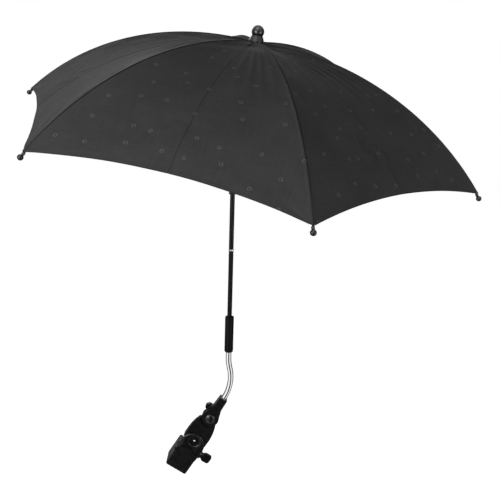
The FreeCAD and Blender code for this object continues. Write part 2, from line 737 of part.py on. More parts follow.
pivot_r = size("crown_wire_ring")
pivot_drop = -size("rib_pivot_drop")
on_rib = Vector(size("stretcher_out"), 0, arc_height(rib_arc, size("stretcher_out")))
inward = (Vector(arc_x, 0, arc_z) - on_rib).normalize()
rivet_at = on_rib + inward * size("stretcher_offset")
runner_r = size("runner_wire_ring")
pitch = math.radians(size("stretcher_pitch"))
stretcher_long = (rivet_at.x - runner_r) / math.cos(pitch)
runner_z = rivet_at.z - stretcher_long * math.sin(pitch)

# Upper pole with a slot for the catch that holds the runner up.
head_top = size("head_length")
runner_level = head_top + runner_z
grip = size("runner_grip")
catch_long = size("catch_length")
catch_reach = size("catch_reach")
catch_top = runner_level - grip - end_gap
collar_top = collar_rise + collar_high
upper_tube = pole_tube("upper_pole_tube", collar_top, head_top + pivot_drop + 0.5)
catch_slot = box("catch_slot", (1, -1 - clear, catch_top - catch_long - 1),
                 (2 * pole_r, 1 + clear, catch_top + 1))
node("upper_pole", cut("upper_pole_cut", upper_tube, [catch_slot]), head_frame)
leaf = bore_r - 1.25
catch = slab("catch_leaf", 1.0, 2.0, (leaf, catch_top - catch_long), [
    (leaf + 1, catch_top - catch_long),
    (catch_reach, catch_top),
    (leaf, catch_top),
    (leaf, catch_top - catch_long),
])
node("runner_catch", catch, head_frame)


def slots(name, count, first, inner_r, width, low_end, high_end):
    """Radial slots evenly spaced round the axis, as cutting boxes."""
    tools = []
    for index in range(count):
        item = box(f"{name}_{index}", (inner_r, -width / 2, low_end), (4 * inner_r, width / 2, high_end))
        turn = Rotation(Z_AXIS, first + index * 360 / count)
        item.Placement = Placement(Vector(0, 0, 0), turn).multiply(item.Placement)
        tools.append(item)
    return tools


rib_count = int(size("rib_count"))
first_azimuth = size("rib_first_azimuth")
crown_r = size("crown_radius")
crown_high = -size("crown_top")
crown_low = crown_high - size("crown_height")
wire_r = size("wire_radius")
eye_r = size("eye_radius")
eye_slot = size("eye_thickness") + 2 * size("slot_clearance")
crown_turned = turned("crown_body", (pole_r, crown_low - 3), [
    (pole_r + 1.55, crown_low - 3),
    (pole_r + 2.35, crown_low),
    (crown_r - 1, crown_low),
    (crown_r, crown_low + 1),
    (crown_r, crown_high - 0.8),
    (crown_r - 0.8, crown_high),
    (pole_r, crown_high),
    (pole_r, crown_low - 3),
])
crown_slots = slots("crown_slot", rib_count, first_azimuth, pivot_r - eye_r - 0.4, eye_slot,
                    2 * crown_low, crown_r)
crown_groove = wire_ring("crown_groove", "Sizes.crown_wire_ring", pivot_drop)
node("crown", cut("crown_cut", crown_turned, crown_slots + [crown_groove]), crown_frame)
node("crown_wire", wire_ring("crown_wire_ring", "Sizes.crown_wire_ring", pivot_drop), crown_frame)

# Washer under the cloth and the finial above it.
cloth_under = cloth_arc - size("cloth_thickness")
hole = size("cloth_hole")
washer_r = crown_r - 0.8
washer_top = arc_height(cloth_under, hole) - size("cloth_gap")
washer = turned("washer_body", (pole_r, crown_high), [
    (washer_r, crown_high),
    (washer_r, washer_top),
    (pole_r, washer_top),
    (pole_r, crown_high),
])
node("cap_washer", washer, crown_frame)
skirt_r = size("finial_skirt_radius")
skirt_low = arc_height(cloth_arc, skirt_r) + clear
skirt_top = skirt_low + size("finial_skirt_rim")
spigot_r = hole * math.cos(math.pi / rib_count) - clear
neck_r = size("finial_neck_radius")
ball_r = size("finial_ball_radius")
ball_z = skirt_low + size("finial_ball_rise")
neck_z = (skirt_top + ball_z) / 2 - 1
finial = turned("finial_body", (0, -size("finial_plug")), [
    (bore_r, -size("finial_plug")),
    (bore_r, washer_top),
    (spigot_r, washer_top),
    (spigot_r, skirt_low),
    (skirt_r, skirt_low),
    (skirt_r, skirt_top),
    (neck_r + 0.9, skirt_top + 1.7, neck_r, neck_z),
    (neck_r, ball_z - math.sqrt(ball_r ** 2 - neck_r ** 2)),
    (ball_r, ball_z, 0, ball_z + ball_r),
    (0, -size("finial_plug")),
])
node("finial", finial, crown_frame)

# Runner with a slotted collar and a grip below it.
collar_r = size("runner_radius")
collar_half = size("runner_half_height")
trunk_r = size("runner_neck_radius")
tongue_slot = size("eye_thickness") + 2 * size("slot_clearance") + 0.2
runner_turned = turned("runner_body", (slide_r, -grip), [
    (trunk_r + 0.4, -grip),
    (trunk_r + 1, -grip + 0.6),
    (trunk_r + 1, -grip + 2.4),
    (trunk_r, -grip + 3.2),
    (trunk_r, -collar_half - 0.4),
    (collar_r - 0.4, -collar_half),
    (collar_r, -collar_half + 0.4),
    (collar_r, collar_half - 0.6),
    (collar_r - 0.4, collar_half - 0.2),
    (trunk_r, collar_half + 0.2),
    (trunk_r, collar_half + 2.8),
    (slide_r, collar_half + 2.8),
    (slide_r, -grip),
])
runner_slots = slots("runner_slot", rib_count, first_azimuth, trunk_r + 0.1, tongue_slot,
                     -2 * collar_half, 2 * collar_half)
runner_groove = wire_ring("runner_groove", "Sizes.runner_wire_ring", 0)
runner_frame = head_frame.multiply(Placement(Vector(0, 0, runner_level), Rotation()))
node("runner", cut("runner_cut", runner_turned, runner_slots + [runner_groove]), runner_frame)
node("runner_wire", wire_ring("runner_wire_ring", "Sizes.runner_wire_ring", 0), runner_frame)

# Ribs, ball tips, rivets and stretchers, one set for each rib.
bar_end = pivot_r + size("eye_bar_length")
tip_reach = size("cloth_corner") + size("tip_out")
tip_turn = math.acos((tip_reach - arc_x) / rib_arc)
tip_angle = math.degrees(tip_turn)
root_angle = math.degrees(math.acos(((pivot_r + bar_end) / 2 - 1 - arc_x) / rib_arc))
tip_at = Vector(tip_reach, 0, arc_height(rib_arc, tip_reach))
tip_back = Vector(-math.sin(tip_turn), 0, math.cos(tip_turn))


def rib_wire(name):
    """Round rib wire bent to the canopy's arc."""
    return arc_rod(name, rib_arc, "Sizes.rib_radius", (arc_x, 0, arc_z), tip_angle, root_angle - tip_angle)


def make_rib(name):
    """Rib wire with a flat eye at the crown and a rivet plate below it."""
    flat = size("eye_thickness")
    bar_z = arc_height(rib_arc, bar_end)
    web = 0.8 * size("rib_radius")
    eye = cylinder(name + "_eye", "Sizes.eye_radius", "Sizes.eye_thickness",
                   (pivot_r, -flat / 2, pivot_drop), Y_AXIS)
    eye_bar = slab(name + "_eye_bar", flat / 2, "Sizes.eye_thickness", (pivot_r, pivot_drop + eye_r), [
        (bar_end, bar_z + web),
        (bar_end, bar_z - web),
        (pivot_r + 0.5 * eye_r, pivot_drop - 0.85 * eye_r),
        (pivot_r, pivot_drop + eye_r),
    ])
    round_r = size("plate_radius")
    plate_start = (rivet_at.x - round_r, rivet_at.z)
    plate = slab(name + "_plate", size("plate_thickness") / 2, "Sizes.plate_thickness", plate_start, [
        (rivet_at.x, rivet_at.z - round_r, rivet_at.x + round_r, rivet_at.z),
        (on_rib.x + round_r, on_rib.z),
        (on_rib.x - round_r, on_rib.z),
        plate_start,
    ])
    body = fuse(name + "_fuse", [rib_wire(name + "_wire"), eye, eye_bar, plate])
    eye_bore = cylinder(name + "_eye_bore", "Sizes.wire_radius + 2 * Sizes.running_fit", 6 * flat,
                        (pivot_r, -3 * flat, pivot_drop), Y_AXIS)
    rivet_hole = cylinder(name + "_rivet_hole", "Sizes.rivet_radius", 6 * flat,
                          (rivet_at.x, -3 * flat, rivet_at.z), Y_AXIS)
    return cut(name + "_cut", body, [eye_bore, rivet_hole])


def make_tip(name):
    """Ball tip with a short neck, bored for the end of the rib."""
    ball = sphere(name + "_ball", "Sizes.tip_ball_radius", tip_at)
    neck_end = cylinder(name + "_neck", "Sizes.tip_neck_radius", "Sizes.tip_neck_length", tip_at, tip_back)
    return cut(name + "_cut", fuse(name + "_fuse", [ball, neck_end]), [rib_wire(name + "_bore")])


fork_inner = size("plate_thickness") / 2 + clear
fork_outer = fork_inner + size("fork_wall")
rivet_end = fork_outer + clear


def make_rivet(name):
    """Rivet through the rib's plate and the stretcher's fork."""
    head = 2 * clear
    shank = cylinder(name + "_shank", "Sizes.rivet_radius", 2 * rivet_end + head,
                     (rivet_at.x, -rivet_end - clear, rivet_at.z), Y_AXIS)
    front = cylinder(name + "_front", "Sizes.rivet_head_radius", head,
                     (rivet_at.x, -rivet_end - head, rivet_at.z), Y_AXIS)
    back = cylinder(name + "_back", "Sizes.rivet_head_radius", head,
                    (rivet_at.x, rivet_end, rivet_at.z), Y_AXIS)
    return fuse(name + "_fuse", [shank, front, back])


def make_stretcher(name):
    """Stretcher rod with a fork at the rivet and a flat tongue for the runner's slot."""
    long = stretcher_long
    round_r = size("plate_radius")
    deep = round_r + size("stretcher_offset") + 0.2
    flat = size("eye_thickness")
    stop = wire_r + 8 * size("running_fit")
    fork_end = fuse(name + "_fork_end", [
        cylinder(name + "_fork_round", "Sizes.plate_radius", 2 * fork_outer, (0, -fork_outer, 0), Y_AXIS),
        box(name + "_fork_bar", (0, -fork_outer, -round_r), (deep + 2.7, fork_outer, round_r)),
    ])
    fork_gap = box(name + "_fork_gap", (-2 * round_r, -fork_inner, -2 * round_r),
                   (deep, fork_inner, 2 * round_r))
    fork_bore = cylinder(name + "_fork_bore", "Sizes.rivet_radius + Sizes.rivet_fit", 4 * fork_outer,
                         (0, -2 * fork_outer, 0), Y_AXIS)
    fork_piece = cut(name + "_fork", fork_end, [fork_gap, fork_bore])
    rod = cylinder(name + "_rod", "Sizes.stretcher_radius", long - deep - 12, (deep + 1.2, 0, 0), X_AXIS)
    end_flat = box(name + "_flat", (long - 14, -flat / 2, -1.8), (long - stop, flat / 2, 1.8))
    return fuse(name + "_fuse", [fork_piece, rod, end_flat])


rivet_frame = Placement(rivet_at, Rotation(Y_AXIS, 180 - size("stretcher_pitch")))
for index in range(rib_count):
    number = index + 1
    turn = Rotation(Z_AXIS, first_azimuth + index * 360 / rib_count)
    rib_frame = crown_frame.multiply(Placement(Vector(0, 0, 0), turn))
    node(f"rib_{number}", make_rib(f"rib_{number}"), rib_frame)
    node(f"tip_{number}", make_tip(f"tip_{number}"), rib_frame)
    node(f"rivet_{number}", make_rivet(f"rivet_{number}"), rib_frame)
    node(f"stretcher_{number}", make_stretcher(f"stretcher_{number}"), rib_frame.multiply(rivet_frame))


def half_gore(side):
    """Half of a cloth gore: an elliptic profile on the panel's crease, run straight across to the rib."""
    squeeze = math.cos(math.pi / rib_count)
    crease = side * math.pi / rib_count
    outward = Vector(math.cos(crease), math.sin(crease), 0)
    across = Vector(math.sin(crease), -math.cos(crease), 0) * side
    corner_r = size("cloth_corner")
    hole_turn = math.acos((hole - arc_x) / cloth_arc)
    rim_turn = math.acos((corner_r + 3 - arc_x) / cloth_arc)

    def profile(radius):
        """Points of the panel's profile in the crease plane, from the hub to the rim."""
        points = []
        for step in range(17):
            turn_angle = hole_turn + (rim_turn - hole_turn) * step / 16
            reach_out = (arc_x + radius * math.cos(turn_angle)) * squeeze
            points.append(outward * reach_out + Vector(0, 0, arc_z + radius * math.sin(turn_angle)))
        return points

    upper = Part.BSplineCurve()
    upper.interpolate(profile(cloth_arc))
    lower = Part.BSplineCurve()
    lower.interpolate(profile(cloth_under))
    edges = [
        upper.toShape(),
        Part.makeLine(upper.EndPoint, lower.EndPoint),
        lower.toShape(),
        Part.makeLine(lower.StartPoint, upper.StartPoint),
    ]
    face = Part.Face(Part.Wire(Part.__sortEdges__(edges)))
    face.translate(across * size("cloth_gap"))
    panel = face.extrude(across * 0.7 * corner_r)
    span = 2 * corner_r
    keep = Part.makeBox(span, span, span, Vector(-corner_r / 4, 0 if side > 0 else -span, -corner_r))
    rise = size("scallop_rise")
    corner_z = arc_height(cloth_arc, corner_r)
    half_chord = corner_r * math.sin(math.pi / rib_count)
    scallop_r = (half_chord ** 2 + rise ** 2) / (2 * rise)
    scallop_centre = Vector(0, 0, corner_z + rise - scallop_r)
    scallop = Part.makeCylinder(scallop_r, span, scallop_centre, outward)
    return panel.common(keep).cut(scallop)


gore_shape = half_gore(1).fuse(half_gore(-1)).removeSplitter()
for index in range(rib_count):
    gore = doc.addObject("Part::Feature", f"canopy_gore_{index + 1}")
    gore.Shape = gore_shape
    turn = Rotation(Z_AXIS, first_azimuth + index * 360 / rib_count)
    node(f"canopy_gore_{index + 1}", gore, crown_frame.multiply(Placement(Vector(0, 0, 0), turn)))

doc.recompute()
os.makedirs("parts", exist_ok=True)
for item in doc.Objects:
    if "Invalid" in item.State or "Error" in item.State:
        raise RuntimeError(f"{item.Label} did not build: {item.State}")
for label, item in nodes.items():
    if not item.Shape.isValid() or not item.Shape.Solids:
        raise RuntimeError(f"{label} has no valid solid")
    item.Shape.exportStep(f"parts/{label}.step")
print(len(nodes), "sub-parts written")
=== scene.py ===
"""Looks of a pram parasol: its cloth canopy, the finish of every piece and a plain studio round them."""

import json
import math

import bpy
import numpy as np
from bpy.props import FloatProperty, FloatVectorProperty, PointerProperty
from mathutils import Matrix, Vector

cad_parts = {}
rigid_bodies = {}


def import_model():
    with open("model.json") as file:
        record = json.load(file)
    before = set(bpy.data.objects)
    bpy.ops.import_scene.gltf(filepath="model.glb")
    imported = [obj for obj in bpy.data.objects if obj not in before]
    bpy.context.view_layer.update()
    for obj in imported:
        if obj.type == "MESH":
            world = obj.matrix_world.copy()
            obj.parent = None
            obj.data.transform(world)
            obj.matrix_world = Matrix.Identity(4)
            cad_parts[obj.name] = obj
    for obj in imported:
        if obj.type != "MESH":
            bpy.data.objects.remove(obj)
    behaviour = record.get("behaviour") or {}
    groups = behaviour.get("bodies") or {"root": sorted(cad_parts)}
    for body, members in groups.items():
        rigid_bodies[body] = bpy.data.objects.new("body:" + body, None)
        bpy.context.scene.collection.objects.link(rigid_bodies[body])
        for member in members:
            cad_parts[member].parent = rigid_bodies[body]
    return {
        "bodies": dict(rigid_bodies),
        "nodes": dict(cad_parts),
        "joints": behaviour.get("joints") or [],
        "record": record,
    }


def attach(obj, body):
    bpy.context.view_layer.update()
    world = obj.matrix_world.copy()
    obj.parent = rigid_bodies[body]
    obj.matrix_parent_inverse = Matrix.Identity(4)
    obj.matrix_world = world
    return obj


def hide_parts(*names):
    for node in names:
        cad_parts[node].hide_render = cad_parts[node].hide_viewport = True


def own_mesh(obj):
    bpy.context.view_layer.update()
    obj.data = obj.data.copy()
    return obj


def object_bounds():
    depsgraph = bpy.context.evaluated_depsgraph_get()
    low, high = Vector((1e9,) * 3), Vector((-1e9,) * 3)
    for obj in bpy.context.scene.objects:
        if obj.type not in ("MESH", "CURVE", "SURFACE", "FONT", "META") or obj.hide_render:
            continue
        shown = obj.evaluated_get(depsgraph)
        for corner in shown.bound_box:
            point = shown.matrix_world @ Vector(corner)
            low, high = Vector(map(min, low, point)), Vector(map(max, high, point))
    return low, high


bl_info = {
    "name": "Pram parasol",
    "version": (1, 0, 0),
    "blender": (4, 5, 0),
    "location": "3D View > Sidebar > Parasol",
    "description": "Cloth canopy, finishes and studio for a pram parasol",
    "category": "Object",
}

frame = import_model()
CAD_BOX = [list(corner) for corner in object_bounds()]
JOINTS = {joint["name"]: joint for joint in frame["joints"]}
RIBS = [name for name in frame["bodies"] if name.startswith("rib_")]
RIB_NUMBERS = range(1, len(RIBS) + 1)
UP = -np.array(JOINTS["runner_slide"]["axis"])
PIVOTS = np.array([JOINTS[rib + "_fold"]["pos_m"] for rib in RIBS])
PIVOT_DROP = 0.0045  # from the top of the crown down to the ribs' pivots
CROWN = PIVOTS.mean(axis=0) + PIVOT_DROP * UP
BOLT = np.array(JOINTS["arm_swing"]["pos_m"])
CLAMP_UP = -np.array(frame["record"]["mounts"][0]["axis"])
CLAMP_SIDE = np.cross([0, 1, 0], CLAMP_UP)
HALF_TURN = math.pi / len(RIBS)  # from a rib to the crease beside it
HALF_SINE = math.sin(HALF_TURN)
HALF_COSINE = math.cos(HALF_TURN)
FRONT_GORE = 1  # the one that faces the camera
DOUBLED_EDGE = 0.0012  # width of the slope at the edge of doubled cloth
TINY = 1e-6
NOISE_CORE = (0.35, 0.65)  # range of about the middle half of a noise
NOISE_BODY = (0.3, 0.7)  # range of nearly all of a noise


def length(label, text, metres):
    """A size in metres that a user may change."""
    return FloatProperty(name=label, description=text, default=metres, precision=5, unit="LENGTH")


def colour(label, text, rgb):
    """A linear colour that a user may change."""
    return FloatVectorProperty(name=label, description=text, default=rgb, subtype="COLOR", size=3,
                               min=0, max=1)


def angle(label, text, degrees):
    """An angle that a user may change, given in degrees."""
    return FloatProperty(name=label, description=text, default=math.radians(degrees), subtype="ANGLE")


def share(label, text, value):
    """A factor between 0 and 1 that a user may change."""
    return FloatProperty(name=label, description=text, default=value, precision=3, subtype="FACTOR",
                         min=0, max=1)


def watts(label, text, value):
    """The power of a lamp, in watts, that a user may change."""
    return FloatProperty(name=label, description=text, default=value, min=0, subtype="POWER")


class ParasolCanopy(bpy.types.PropertyGroup):
    """Sizes and colours of the cloth."""

    arc_radius: length("Arc radius", "Radius of the bent rib line that the cloth follows", 0.4258)
    arc_out: length("Arc offset", "Distance from the pole to the middle of the arc", 0.0315)
    peak: length("Peak", "Height of the cloth's highest ring above the crown", 0.0012)
    corner: length("Corner radius", "Distance from the pole to the cloth's corners", 0.3457)
    hole: length("Hole radius", "Radius of the hole for the finial's plug", 0.0062)
    scallop: length("Scallop rise", "Rise of the hem between two corners", 0.0135)
    thickness: length("Cloth thickness", "Thickness of the cloth", 0.0005)
    sag: length("Sag", "How far a panel draws in between two ribs", 0.0055)
    hem: length("Hem width", "Width of the folded hem", 0.0045)
    seam: length("Seam height", "Height of the felled seam along a rib", 0.0007)
    fell: length("Seam width", "Width of the felled seam, which lies on one side of its rib", 0.0044)
    crease: length("Crease height", "Height of the pressed crease between two ribs", 0.0004)
    pleat: length("Pleat height", "Height of the small pleats below the finial", 0.0009)
    wrinkle: length("Wrinkle height", "Height of the pull wrinkles, puckers and slack folds", 0.0009)
    pinch_side: length("Pinch side", "Distance of a panel's slack folds from its crease", -0.018)
    pinch_down: length("Pinch height", "Distance of a panel's slack folds from its hem", 0.065)
    ring_pitch: length("Ring pitch", "Mean distance between two printed rings", 0.041)
    ring_radius: length("Ring radius", "Radius of a printed ring", 0.0021)
    ring_line: length("Ring line", "Half width of a printed ring's line", 0.0005)
    thread_pitch: length("Thread pitch", "Distance between two threads of the weave", 0.0007)
    cloth_colour: colour("Cloth", "Colour of the cloth", (0.0385, 0.0385, 0.0395))
    ring_colour: colour("Print", "Colour of the printed rings", (0.1, 0.1, 0.1))
    fold_lean: angle("Fold lean", "Lean of the direction in which a folded panel flattens", -14)
    fold_hold: share("Fold hold", "Share of a rib's bow at which the folded cloth stays on it", 0.75)
    fold_keep: share("Fold keep", "Share of a panel's width that is left when the canopy is folded", 0.2)


class ParasolTrims(bpy.types.PropertyGroup):
    """Sizes of the small pieces on the clamp, the rib ends and the finial."""

    shield_radius: length("Shield radius", "Radius of the arched shield round the lug bolt", 0.0205)
    shield_drop: length("Shield drop", "Distance from the bolt down to the middle of the arch", 0.008)
    shield_foot: length("Shield foot", "Distance from the bolt down to the foot behind the lip", 0.025)
    shield_hole: length("Shield hole", "Radius of the opening round the bolt's head", 0.0084)
    shield_back: length("Shield back", "Place of the shield's back, just in front of the arm", -0.02425)
    shield_front: length("Shield front", "Place of the shield's front", -0.0262)
    shield_edge: length("Shield edge", "Radius of the shield's rounded edges", 0.0015)
    bolt_face: length("Bolt face", "Place of the front of the lug bolt's head", -0.0236)
    nose_radius: length("Bolt nose radius", "Radius of the bright nose on the lug bolt", 0.0017)
    tip_reach: length("Tip reach", "Distance from the pole to the middle of a ball tip", 0.3483)
    rib_drop: length("Rib drop", "Distance from the cloth down to the middle of a rib", 0.0023)
    neck_radius: length("Neck radius", "Radius of the neck of a ball tip", 0.00175)
    thread_start: length("Thread start", "Distance along the neck from ball to thread", 0.0041)
    thread_radius: length("Thread radius", "Radius of the sewing thread", 0.00022)
    skirt_foot: length("Skirt foot radius", "Radius of the finial's skirt at its foot", 0.0109)
    skirt_top: length("Skirt top radius", "Radius of the finial's skirt where it meets the ball", 0.0075)
    skirt_neck: length("Skirt neck radius", "Radius inside the skirt, at the finial's neck", 0.0069)
    skirt_lift: length("Skirt lift", "Distance from the cloth up to the skirt", 0.0011)
    skirt_height: length("Skirt height", "Height of the skirt", 0.0083)
    skirt_edge: length("Skirt edge", "Width of the skirt's broken edge at its foot", 0.0005)


class ParasolFinishes(bpy.types.PropertyGroup):
    """Colours of all pieces but the cloth, and the width of their rounded edges."""

    plastic: colour("Moulded plastic", "Colour of the clamp, arm, socket, sleeve and hubs",
                    (0.0036, 0.0036, 0.0039))
    gloss: colour("Gloss plastic", "Colour of the finial and the ball tips", (0.005, 0.005, 0.0055))
    paint: colour("Pole paint", "Colour of the painted poles", (0.006, 0.006, 0.0064))
    rib_paint: colour("Rib paint", "Colour of the painted ribs and stretchers", (0.018, 0.018, 0.018))
    chrome: colour("Chrome", "Colour of the plated stem", (0.92, 0.92, 0.93))
    steel: colour("Steel", "Colour of the bolts, pins and wires", (0.56, 0.56, 0.57))
    black_steel: colour("Blackened steel", "Colour of the clamp's lug bolt", (0.035, 0.035, 0.037))
    rubber: colour("Rubber", "Colour of the clamp's liner and pad", (0.014, 0.014, 0.014))
    felt: colour("Felt", "Colour of the washer under the finial", (0.02, 0.02, 0.02))
    edge: length("Moulded edge", "Width of the rounded edges of the mouldings", 0.0011)


class ParasolStudio(bpy.types.PropertyGroup):
    """Camera, lights and floor."""

    lens: FloatProperty(name="Lens", description="Focal length in millimetres", default=53.1,
                        subtype="DISTANCE_CAMERA")
    camera_place: FloatVectorProperty(name="Camera", description="Place of the camera",
                                      default=(0.10325, -1.11748, 0.63582), subtype="TRANSLATION")
    camera_tilt: angle("Camera tilt", "Turn of the camera from looking straight down", 75.88)
    camera_roll: angle("Camera roll", "Turn of the camera about its own view line", 1.77)
    key_power: watts("Key light", "Power of the left softbox", 23)
    fill_power: watts("Fill light", "Power of the right softbox", 8)
    back_power: watts("Back light", "Power of the softbox behind", 2.5)
    sky: share("Sky", "Strength of the even light from all round", 0.19)
    floor_drop: length("Floor drop", "Distance from the lowest piece down to the floor", 0.85)
    floor_side: length("Floor size", "Side of the floor", 14)


def smooth_step(value):
    """Ease from 0 to 1: three squares less two cubes of the value clipped to that range."""
    held = np.clip(value, 0, 1)
    return held * held * (3 - 2 * held)


def ridge(distance, half_width):
    """Rounded ridge of height 1 over a line: a Gaussian of the distance from it."""
    return np.exp(-(distance / half_width) ** 2)


def full_turn(count):
    """Angles of a full turn in that many even steps, without its end."""
    return np.linspace(0, 2 * math.pi, count + 1)[:-1]


def grid_object(name, points, chart=None, marks=None, round_rows=False, round_columns=False, capped=False):
    """Mesh object from a grid of points, one quad for each cell, with the chart as its UV map.

    Each mark is a value for every point, kept as an attribute for the finish to read. A round direction is
    closed: its last line of points is joined to its first. A capped piece has a face on both end rings.
    """
    rows, columns = points.shape[:2]
    index = np.arange(rows * columns).reshape(rows, columns)
    if round_rows:
        index = np.concatenate([index, index[:1]])
    if round_columns:
        index = np.concatenate([index, index[:, :1]], axis=1)
    cells = [index[:-1, :-1], index[1:, :-1], index[1:, 1:], index[:-1, 1:]]
    quads = np.stack(cells, axis=-1).reshape(-1, 4)
    mesh = bpy.data.meshes.new(name)
    caps = [index[0, :-1].tolist(), index[-1, -2::-1].tolist()] if capped else []
    mesh.from_pydata(points.reshape(-1, 3).tolist(), [], quads.tolist() + caps)
    if chart is not None:
        layer = mesh.uv_layers.new(name="Cloth")
        layer.data.foreach_set("uv", chart.reshape(-1, 2)[quads.reshape(-1)].astype(np.float32).reshape(-1))
    for mark, values in (marks or {}).items():
        layer = mesh.attributes.new(mark, "FLOAT", "POINT")
        layer.data.foreach_set("value", values.astype(np.float32).reshape(-1))
    mesh.shade_smooth()
    piece = bpy.data.objects.new(name, mesh)
    bpy.context.scene.collection.objects.link(piece)
    return piece


def rib_axes(number):
    """Radial direction, tangent and up of a rib: the radial one is the hinge's axis crossed with up."""
    tangent = np.array(JOINTS[f"rib_{number}_fold"]["axis"])
    return np.array([np.cross(tangent, UP), tangent, UP])


def in_place(points, number):
    """Points from a rib's own frame to the model's frame: the crown plus each coordinate along its axis."""
    return CROWN + points @ rib_axes(number)


def cloth_height(canopy, reach):
    """Height of the cloth over the crown at a rib: a circular arc of the reach from the pole."""
    return canopy.peak - canopy.arc_radius + np.sqrt(canopy.arc_radius ** 2 - (reach - canopy.arc_out) ** 2)


def cloth_slope(canopy, reach):
    """Slope of that arc: less the offset over the root of what is left of the squared radius."""
    out = reach - canopy.arc_out
    return -out / np.sqrt(canopy.arc_radius ** 2 - out ** 2)


def cloth_run(canopy, reach):
    """Distance along the arc from the hole's edge: radius times the angle between the two places."""
    turn = np.arcsin((reach - canopy.arc_out) / canopy.arc_radius)
    return canopy.arc_radius * (turn - math.asin((canopy.hole - canopy.arc_out) / canopy.arc_radius))


def hem_reach(canopy, across):
    """Reach of the hem at each share of the way from rib to crease.

    The hem lies on a level cylinder that passes through both corners and rises between them.
    The reach that meets it is found by putting the last guess into the cylinder's height.
    """
    guesses = 40
    corner_height = cloth_height(canopy, canopy.corner)
    half_chord = canopy.corner * HALF_SINE
    radius = (half_chord ** 2 + canopy.scallop ** 2) / (2 * canopy.scallop)
    reach = np.full_like(across, canopy.corner)
    for _ in range(guesses):
        from_crease = (1 - across) * reach * HALF_SINE
        height = corner_height + canopy.scallop - radius + np.sqrt(radius ** 2 - from_crease ** 2)
        up_arc = height - canopy.peak + canopy.arc_radius
        reach = canopy.arc_out + np.sqrt(canopy.arc_radius ** 2 - up_arc ** 2)
    return reach


def cloth_grid(canopy):
    """Grid of a half panel: shares of the way across it, and reaches from the pole down to the hem.

    Columns are close at both edges, at set distances from them, which take a part of the panel at most.
    Rows run evenly from the hole to just above the hem and then closely through it.
    """
    rows = 96
    hem_rows = 16
    columns = 44
    close_places = np.array([0, 0.5, 1, 1.6, 2.3, 3.2, 4.4, 6]) / 1000
    close_most = 0.4
    hem_zone = 1.6 * canopy.hem
    even = np.linspace(0, 1, rows)
    half_width = (canopy.hole + (canopy.corner - canopy.hole) * even) * HALF_SINE
    close = np.outer(np.minimum(1 / half_width, close_most / close_places[-1]), close_places)
    middle = close[:, -1:] + (1 - 2 * close[:, -1:]) * np.linspace(0, 1, columns)[None, 1:-1]
    across = np.concatenate([close, middle, 1 - close[:, ::-1]], axis=1)
    upper = canopy.hole + (hem_reach(canopy, across) - hem_zone - canopy.hole) * even[:, None]
    last = np.repeat(across[-1:], hem_rows, axis=0)
    lower = hem_reach(canopy, last) - hem_zone * np.linspace(1, 0, hem_rows + 1)[1:, None]
    return np.concatenate([across, last]), np.concatenate([upper, lower])


def hub_pleats(canopy, gore, side_share, reach):
    """Pleats below the finial: ridges on rays from the hub, which rise outwards and fade again."""
    rays = np.array([-0.62, -0.33, 0.2, 0.4, 0.57, 0.75])
    width = np.array([0.07, 0.06, 0.05, 0.045, 0.04, 0.05])
    strength = np.array([0.2, 0.3, 0.8, 1.0, 0.9, 0.7])
    sway = 0.07 * math.sin(2.4 * gore + 0.7)
    start = 0.03
    rise = 0.1
    middle = 0.12
    spread = 0.08
    fan = (strength * ridge(side_share[..., None] - (rays + sway), width)).sum(axis=-1)
    return canopy.pleat * fan * smooth_step((reach - start) / rise) * ridge(reach - middle, spread)


def rib_puckers(gore, side_share, reach):
    """Puckers beside a rib: a slow wave along it, times a ridge that lies a little way from it."""
    height = 1.1
    wave = 0.012
    gore_step = 1.9
    place = 0.014
    width = 0.011
    from_rib = (1 - np.abs(side_share)) * reach * HALF_SINE
    waves = np.sin(reach / wave + gore_step * gore + np.sign(side_share))
    return height * waves * ridge(from_rib - place, width)


def slack_pinch(canopy, gore, from_crease, down):
    """Pinch round one slack place: a whorl of waves on a ring, deepest in the front gore."""
    arms = 3
    wave = 0.006
    radius = 0.016
    width = 0.011
    height = 2.0 if gore == FRONT_GORE else 0.4
    sideways = from_crease - canopy.pinch_side
    upward = down - canopy.pinch_down
    away = np.hypot(sideways, upward)
    whorl = np.sin(arms * np.arctan2(upward, sideways) + away / wave + gore) * ridge(away - radius, width)
    return whorl * height


def corner_wrinkles(canopy, gore, from_crease, down):
    """Pull wrinkles: waves of the angle round each corner, which rise near it and fade away from it."""
    arms = 13
    gore_step = 1.3
    rise = 0.02
    fade = 0.045
    wrinkles = np.zeros_like(down)
    for corner in (-1, 1):
        sideways = corner * canopy.corner * HALF_SINE - from_crease
        away = np.hypot(sideways, down)
        waves = np.sin(arms * np.arctan2(down, corner * sideways) + gore_step * gore + corner)
        wrinkles += waves * np.exp(-away / fade) * smooth_step(away / rise)
    return wrinkles


def slack_hem(gore, side_share, from_crease, down):
    """Slack hem: a slow wave along it that fades up the panel and towards both ribs."""
    height = 0.35
    wave = 0.016
    gore_step = 2.1
    fade = 0.03
    waves = np.sin(from_crease / wave + gore_step * gore)
    slack = waves * np.exp(-down / fade) * (1 - side_share ** 2)
    return height * slack


def pull_folds(canopy, gore, side_share, reach, down):
    """Heights of the small folds of one gore: the sum of all kinds, held down to nothing at its ribs.

    side_share is -1 and 1 at the two ribs and 0 at the crease, and down is the distance from the hem.
    """
    held = 1 - side_share ** 8
    from_crease = side_share * reach * HALF_SINE
    folds = corner_wrinkles(canopy, gore, from_crease, down)
    folds = folds + slack_hem(gore, side_share, from_crease, down)
    folds = folds + rib_puckers(gore, side_share, reach)
    folds = folds + slack_pinch(canopy, gore, from_crease, down)
    return held * (hub_pleats(canopy, gore, side_share, reach) + canopy.wrinkle * folds)


